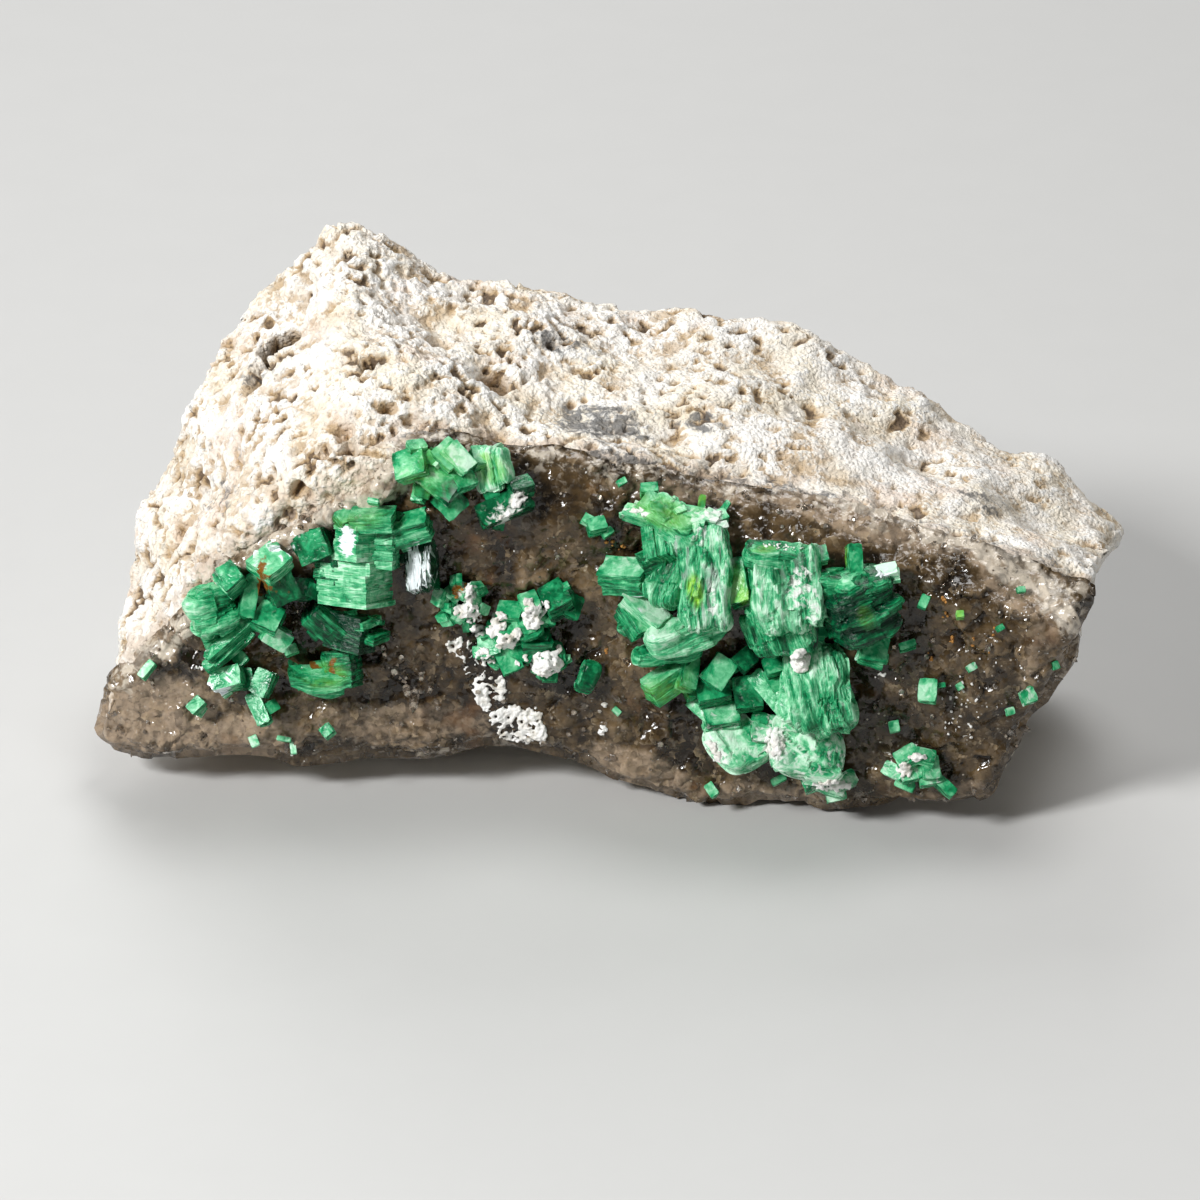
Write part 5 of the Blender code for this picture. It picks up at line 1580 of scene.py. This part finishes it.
@dataclass
class Coating:
    """White powder that lies in crumbs, grown together where they touch.

    lace is the spacing of a lacy heap's threads, in places of the view, and half their width.
    """

    name: str
    heaps: list[Heap]
    seed: int
    replaced: tuple[str, ...] = ()
    voxel: float = 0.05
    lace: tuple[float, float] = (7.0, 0.15)
    sizes: tuple[float, float] = (0.45, 1.1)
    stretch: tuple[float, float] = (0.7, 1.2)
    rough: tuple[float, float] = (0.035, 0.12)

    def crumbs(self, ground: BVHTree) -> BMesh:
        """Drops the crumbs on the surface that they lie on."""
        bm, chance = bmesh.new(), np.random.default_rng(self.seed)
        spacing, thread = self.lace
        for heap in self.heaps:
            turn = math.radians(heap.turn)
            for _ in range(heap.count):
                angle, reach = chance.uniform(0.0, math.tau), math.sqrt(chance.random())
                across, down = math.cos(angle) * reach * heap.across, math.sin(angle) * reach * heap.down
                px = heap.px + across * math.cos(turn) - down * math.sin(turn)
                py = heap.py + across * math.sin(turn) + down * math.cos(turn)
                size = heap.size * chance.uniform(*self.sizes)
                lift = heap.height * (1.0 - reach * reach) * chance.random() + 0.2 * size
                if heap.lacy and abs(noise.noise(Vector((px / spacing, py / spacing, self.seed)))) > thread:
                    continue
                found = VIEW.seen_point(ground, px, py)
                if found:
                    crumb(bm, found + VIEW.eye * lift * MM, 0.5 * size, chance.uniform(*self.stretch, 3))
        return bm

    def build(self, ground: BVHTree, material: Material) -> Piece:
        """Makes the coating.

        Args:
            ground: The surface that it lies on.
            material: Its finish.

        Returns:
            The finished piece.
        """
        even = remeshed(self.crumbs(ground), self.voxel)
        points, normals = points_of(even), points_of(even, "normal")
        height, spacing = self.rough
        rough = np.array([noise.noise(Vector(point) / (spacing * MM)) for point in points])
        set_points(even, points + normals * rough[:, None] * height * MM)
        return place_piece(self.name, even, material, "white_crust", *self.replaced)


LACE = table(
    Heap,
    (454, 645, 9, 5, 26, 0.17), (469, 652, 24, 12, 420, 0.12, 0.0, 25, True), (488, 661, 8, 6, 22),
    (466, 671, 3, 5, 9, 0.14, 0.0, -30), (486, 690, 15, 19, 560, 0.125, 0.1, 0, True),
    (480, 695, 7, 11, 60, 0.18, 0.1), (501, 690, 4, 14, 50, 0.16, 0.1), (486, 710, 5, 3, 10, 0.15),
    (516, 727, 30, 17, 800, 0.14, 0.12, 20, True), (513, 712, 9, 6, 50, 0.2, 0.15),
    (530, 722, 12, 14, 80, 0.2, 0.2, 30), (500, 719, 13, 5, 60, 0.17, 0.1, 15),
    (540, 735, 6, 10, 60, 0.18, 0.1), (520, 738, 22, 6, 90, 0.16, 0.1))
DUST = table(
    Heap,
    (533, 618, 11, 12, 130, 0.2, 0.35), (506, 642, 10, 8, 90, 0.2, 0.3), (517, 634, 5, 6, 36, 0.18, 0.2),
    (499, 622, 8, 11, 90, 0.18, 0.25), (493, 631, 6, 7, 40, 0.18, 0.2),
    (546, 664, 16, 12, 190, 0.22, 0.4), (560, 649, 4, 4, 18, 0.17, 0.15),
    (529, 602, 5, 4, 24, 0.17, 0.2), (545, 606, 5, 5, 24, 0.18, 0.2), (478, 630, 8, 6, 44, 0.18, 0.2),
    (467, 611, 14, 8, 110, 0.15, 0.2), (470, 594, 4, 11, 60, 0.14, 0.2), (474, 618, 9, 6, 40, 0.15, 0.2),
    (517, 663, 3, 3, 12, 0.15), (484, 652, 5, 4, 16), (526, 658, 4, 3, 12, 0.15),
    (519, 501, 9, 6, 60, 0.16, 0.15, -40), (505, 517, 10, 3, 26, 0.13, 0.0, -35),
    (799, 660, 8, 11, 260, 0.26, 0.5), (775, 742, 9, 14, 120, 0.2, 0.2),
    (833, 786, 20, 6, 110, 0.18, 0.15), (714, 752, 6, 14, 60, 0.15, 0.1, -30),
    (905, 770, 8, 8, 60, 0.16, 0.15), (918, 757, 10, 4, 40, 0.15, 0.1), (603, 732, 4, 6, 26, 0.16, 0.15),
    (605, 706, 3, 3, 8, 0.15), (197, 668, 4, 2, 12, 0.15), (636, 511, 9, 3, 26, 0.13),
    (712, 513, 9, 4, 30, 0.13), (960, 710, 20, 34, 60, 0.14), (880, 675, 6, 5, 14, 0.13),
    (782, 548, 22, 3, 44, 0.13, 0.05, 6), (1000, 650, 44, 60, 70, 0.12), (640, 470, 60, 12, 16, 0.11),
    (560, 560, 60, 30, 12, 0.11), (300, 760, 120, 8, 14, 0.11))
STAINS = [
    (972, 641), (985, 650), (945, 616), (940, 600), (622, 548), (607, 650), (608, 545), (948, 640),
    (466, 588), (461, 592), (990, 630), (930, 655)]

@dataclass
class OchreGrains:
    """Loose grains of rust-coloured earth, three to each place."""

    places: list[tuple[float, float]]
    seed: int = 5
    size: float = 0.2
    scatter: float = 2.5
    finish: EarthFinish = EarthFinish()

    def build(self, ground: BVHTree) -> Piece:
        """Makes the grains on the surface that they lie on and dresses them."""
        bm, chance = bmesh.new(), np.random.default_rng(self.seed)
        for px, py in self.places:
            for _ in range(3):
                right, down = chance.normal(size=2) * self.scatter
                stretch = chance.uniform(0.5, 1.1, 3)
                radius = self.size * chance.uniform(0.25, 0.6)
                crumb(bm, VIEW.seen_point(ground, px + right, py + down), radius, stretch)
        return place_piece("ochre_grains", mesh_from(bm, "grains"), self.finish.build(), "host_rock")


# Studio

@dataclass(frozen=True)
class Lamp:
    """A soft square light: where it stands, its energy in watts and its side in metres."""

    name: str
    place: Triple
    energy: float
    side: float


@dataclass
class Studio:
    """A plain pale floor, soft light from the upper left and the camera."""

    floor_reach: float = 2.0
    air: Colour = (1.0, 0.98, 0.95)
    air_strength: float = 0.11
    near_clip: float = 0.005
    floor_finish: FloorFinish = FloorFinish()
    lamps: list[Lamp] = field(default_factory=lambda: table(
        Lamp,
        ("key", (-0.17, -0.14, 0.17), 0.84, 0.055), ("fill", (0.20, -0.22, 0.12), 0.07, 0.20),
        ("back", (-0.04, 0.20, 0.16), 0.20, 0.14), ("top", (0.06, 0.06, 0.28), 0.33, 0.12)))

    def aimed(self, name: str, data: bpy.types.ID, place: Vector) -> Piece:
        """Puts a light or camera at a place, turned towards the specimen."""
        obj = bpy.data.objects.new(name, data)
        obj.location = place
        obj.rotation_euler = (Vector(VIEW.middle) - place).to_track_quat("-Z", "Y").to_euler()
        bpy.context.scene.collection.objects.link(obj)
        return obj

    def build(self) -> None:
        """Sets up floor, lights, surrounding air and camera."""
        bm = bmesh.new()
        bmesh.ops.create_grid(bm, x_segments=2, y_segments=2, size=self.floor_reach)
        mesh = mesh_from(bm, "floor")
        mesh.materials.append(self.floor_finish.build())
        floor = bpy.data.objects.new("floor", mesh)
        bpy.context.scene.collection.objects.link(floor)
        for lamp in self.lamps:
            light = bpy.data.lights.new(lamp.name, "AREA")
            light.energy, light.size = lamp.energy, lamp.side
            self.aimed(lamp.name, light, Vector(lamp.place))
        world = bpy.data.worlds.new("studio")
        world.use_nodes = True
        air = world.node_tree.nodes["Background"].inputs
        air["Color"].default_value, air["Strength"].default_value = (*self.air, 1.0), self.air_strength
        bpy.context.scene.world = world
        bpy.context.scene.view_settings.view_transform = "Standard"
        lens = bpy.data.cameras.new("front_camera")
        lens.angle = 2.0 * math.atan(VIEW.centre * VIEW.unit / VIEW.distance)
        lens.clip_start = self.near_clip
        place = Vector(VIEW.middle) + VIEW.eye * VIEW.distance
        bpy.context.scene.camera = self.aimed("front_camera", lens, place)


# Without a seed of its own, noise_vector takes its offsets from the clock.
NOISE_SEED = 1


def main() -> None:
    """Builds every piece of the specimen, in order."""
    logging.basicConfig(level=logging.INFO, format="%(message)s")
    noise.seed_set(NOISE_SEED)
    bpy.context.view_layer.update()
    rock = tree_of(welded("host_rock", "quartz_crust"))
    HostRock().build()
    crust = QuartzCrust().build()
    QuartzPoints().build(crust, rock)
    leaf, block = leaf_template(), block_template()
    leaves = TorberniteFinish().build()
    glassy = TorberniteFinish("glassy_torbernite", gloss=0.10, lines=0.16, mottle=0.1, clear=0.12).build()
    carriers = [crust.data]
    for seed, (node, books) in enumerate(CLUSTERS.items()):
        finish = glassy if node in ("glassy_prism", "dark_tablet") else leaves
        small = 6 if node == "dusted_cluster" else 2
        made = CrystalCluster(node, books, seed, small=small).build(rock, leaf, block, finish)
        carriers.append(made.data)
    CrystalCluster("loose_flakes", LOOSE_FLAKES, 99, replaced=False).build(rock, leaf, block, leaves)
    ground = tree_of(bmesh_of(*carriers))
    powder = PowderFinish().build()
    Coating("white_crust_lace", LACE, 7, ("white_crust",)).build(ground, powder)
    Coating("white_dust", DUST, 8).build(ground, powder)
    OchreGrains(STAINS).build(ground)
    Studio().build()


if __name__ == "__main__":
    main()
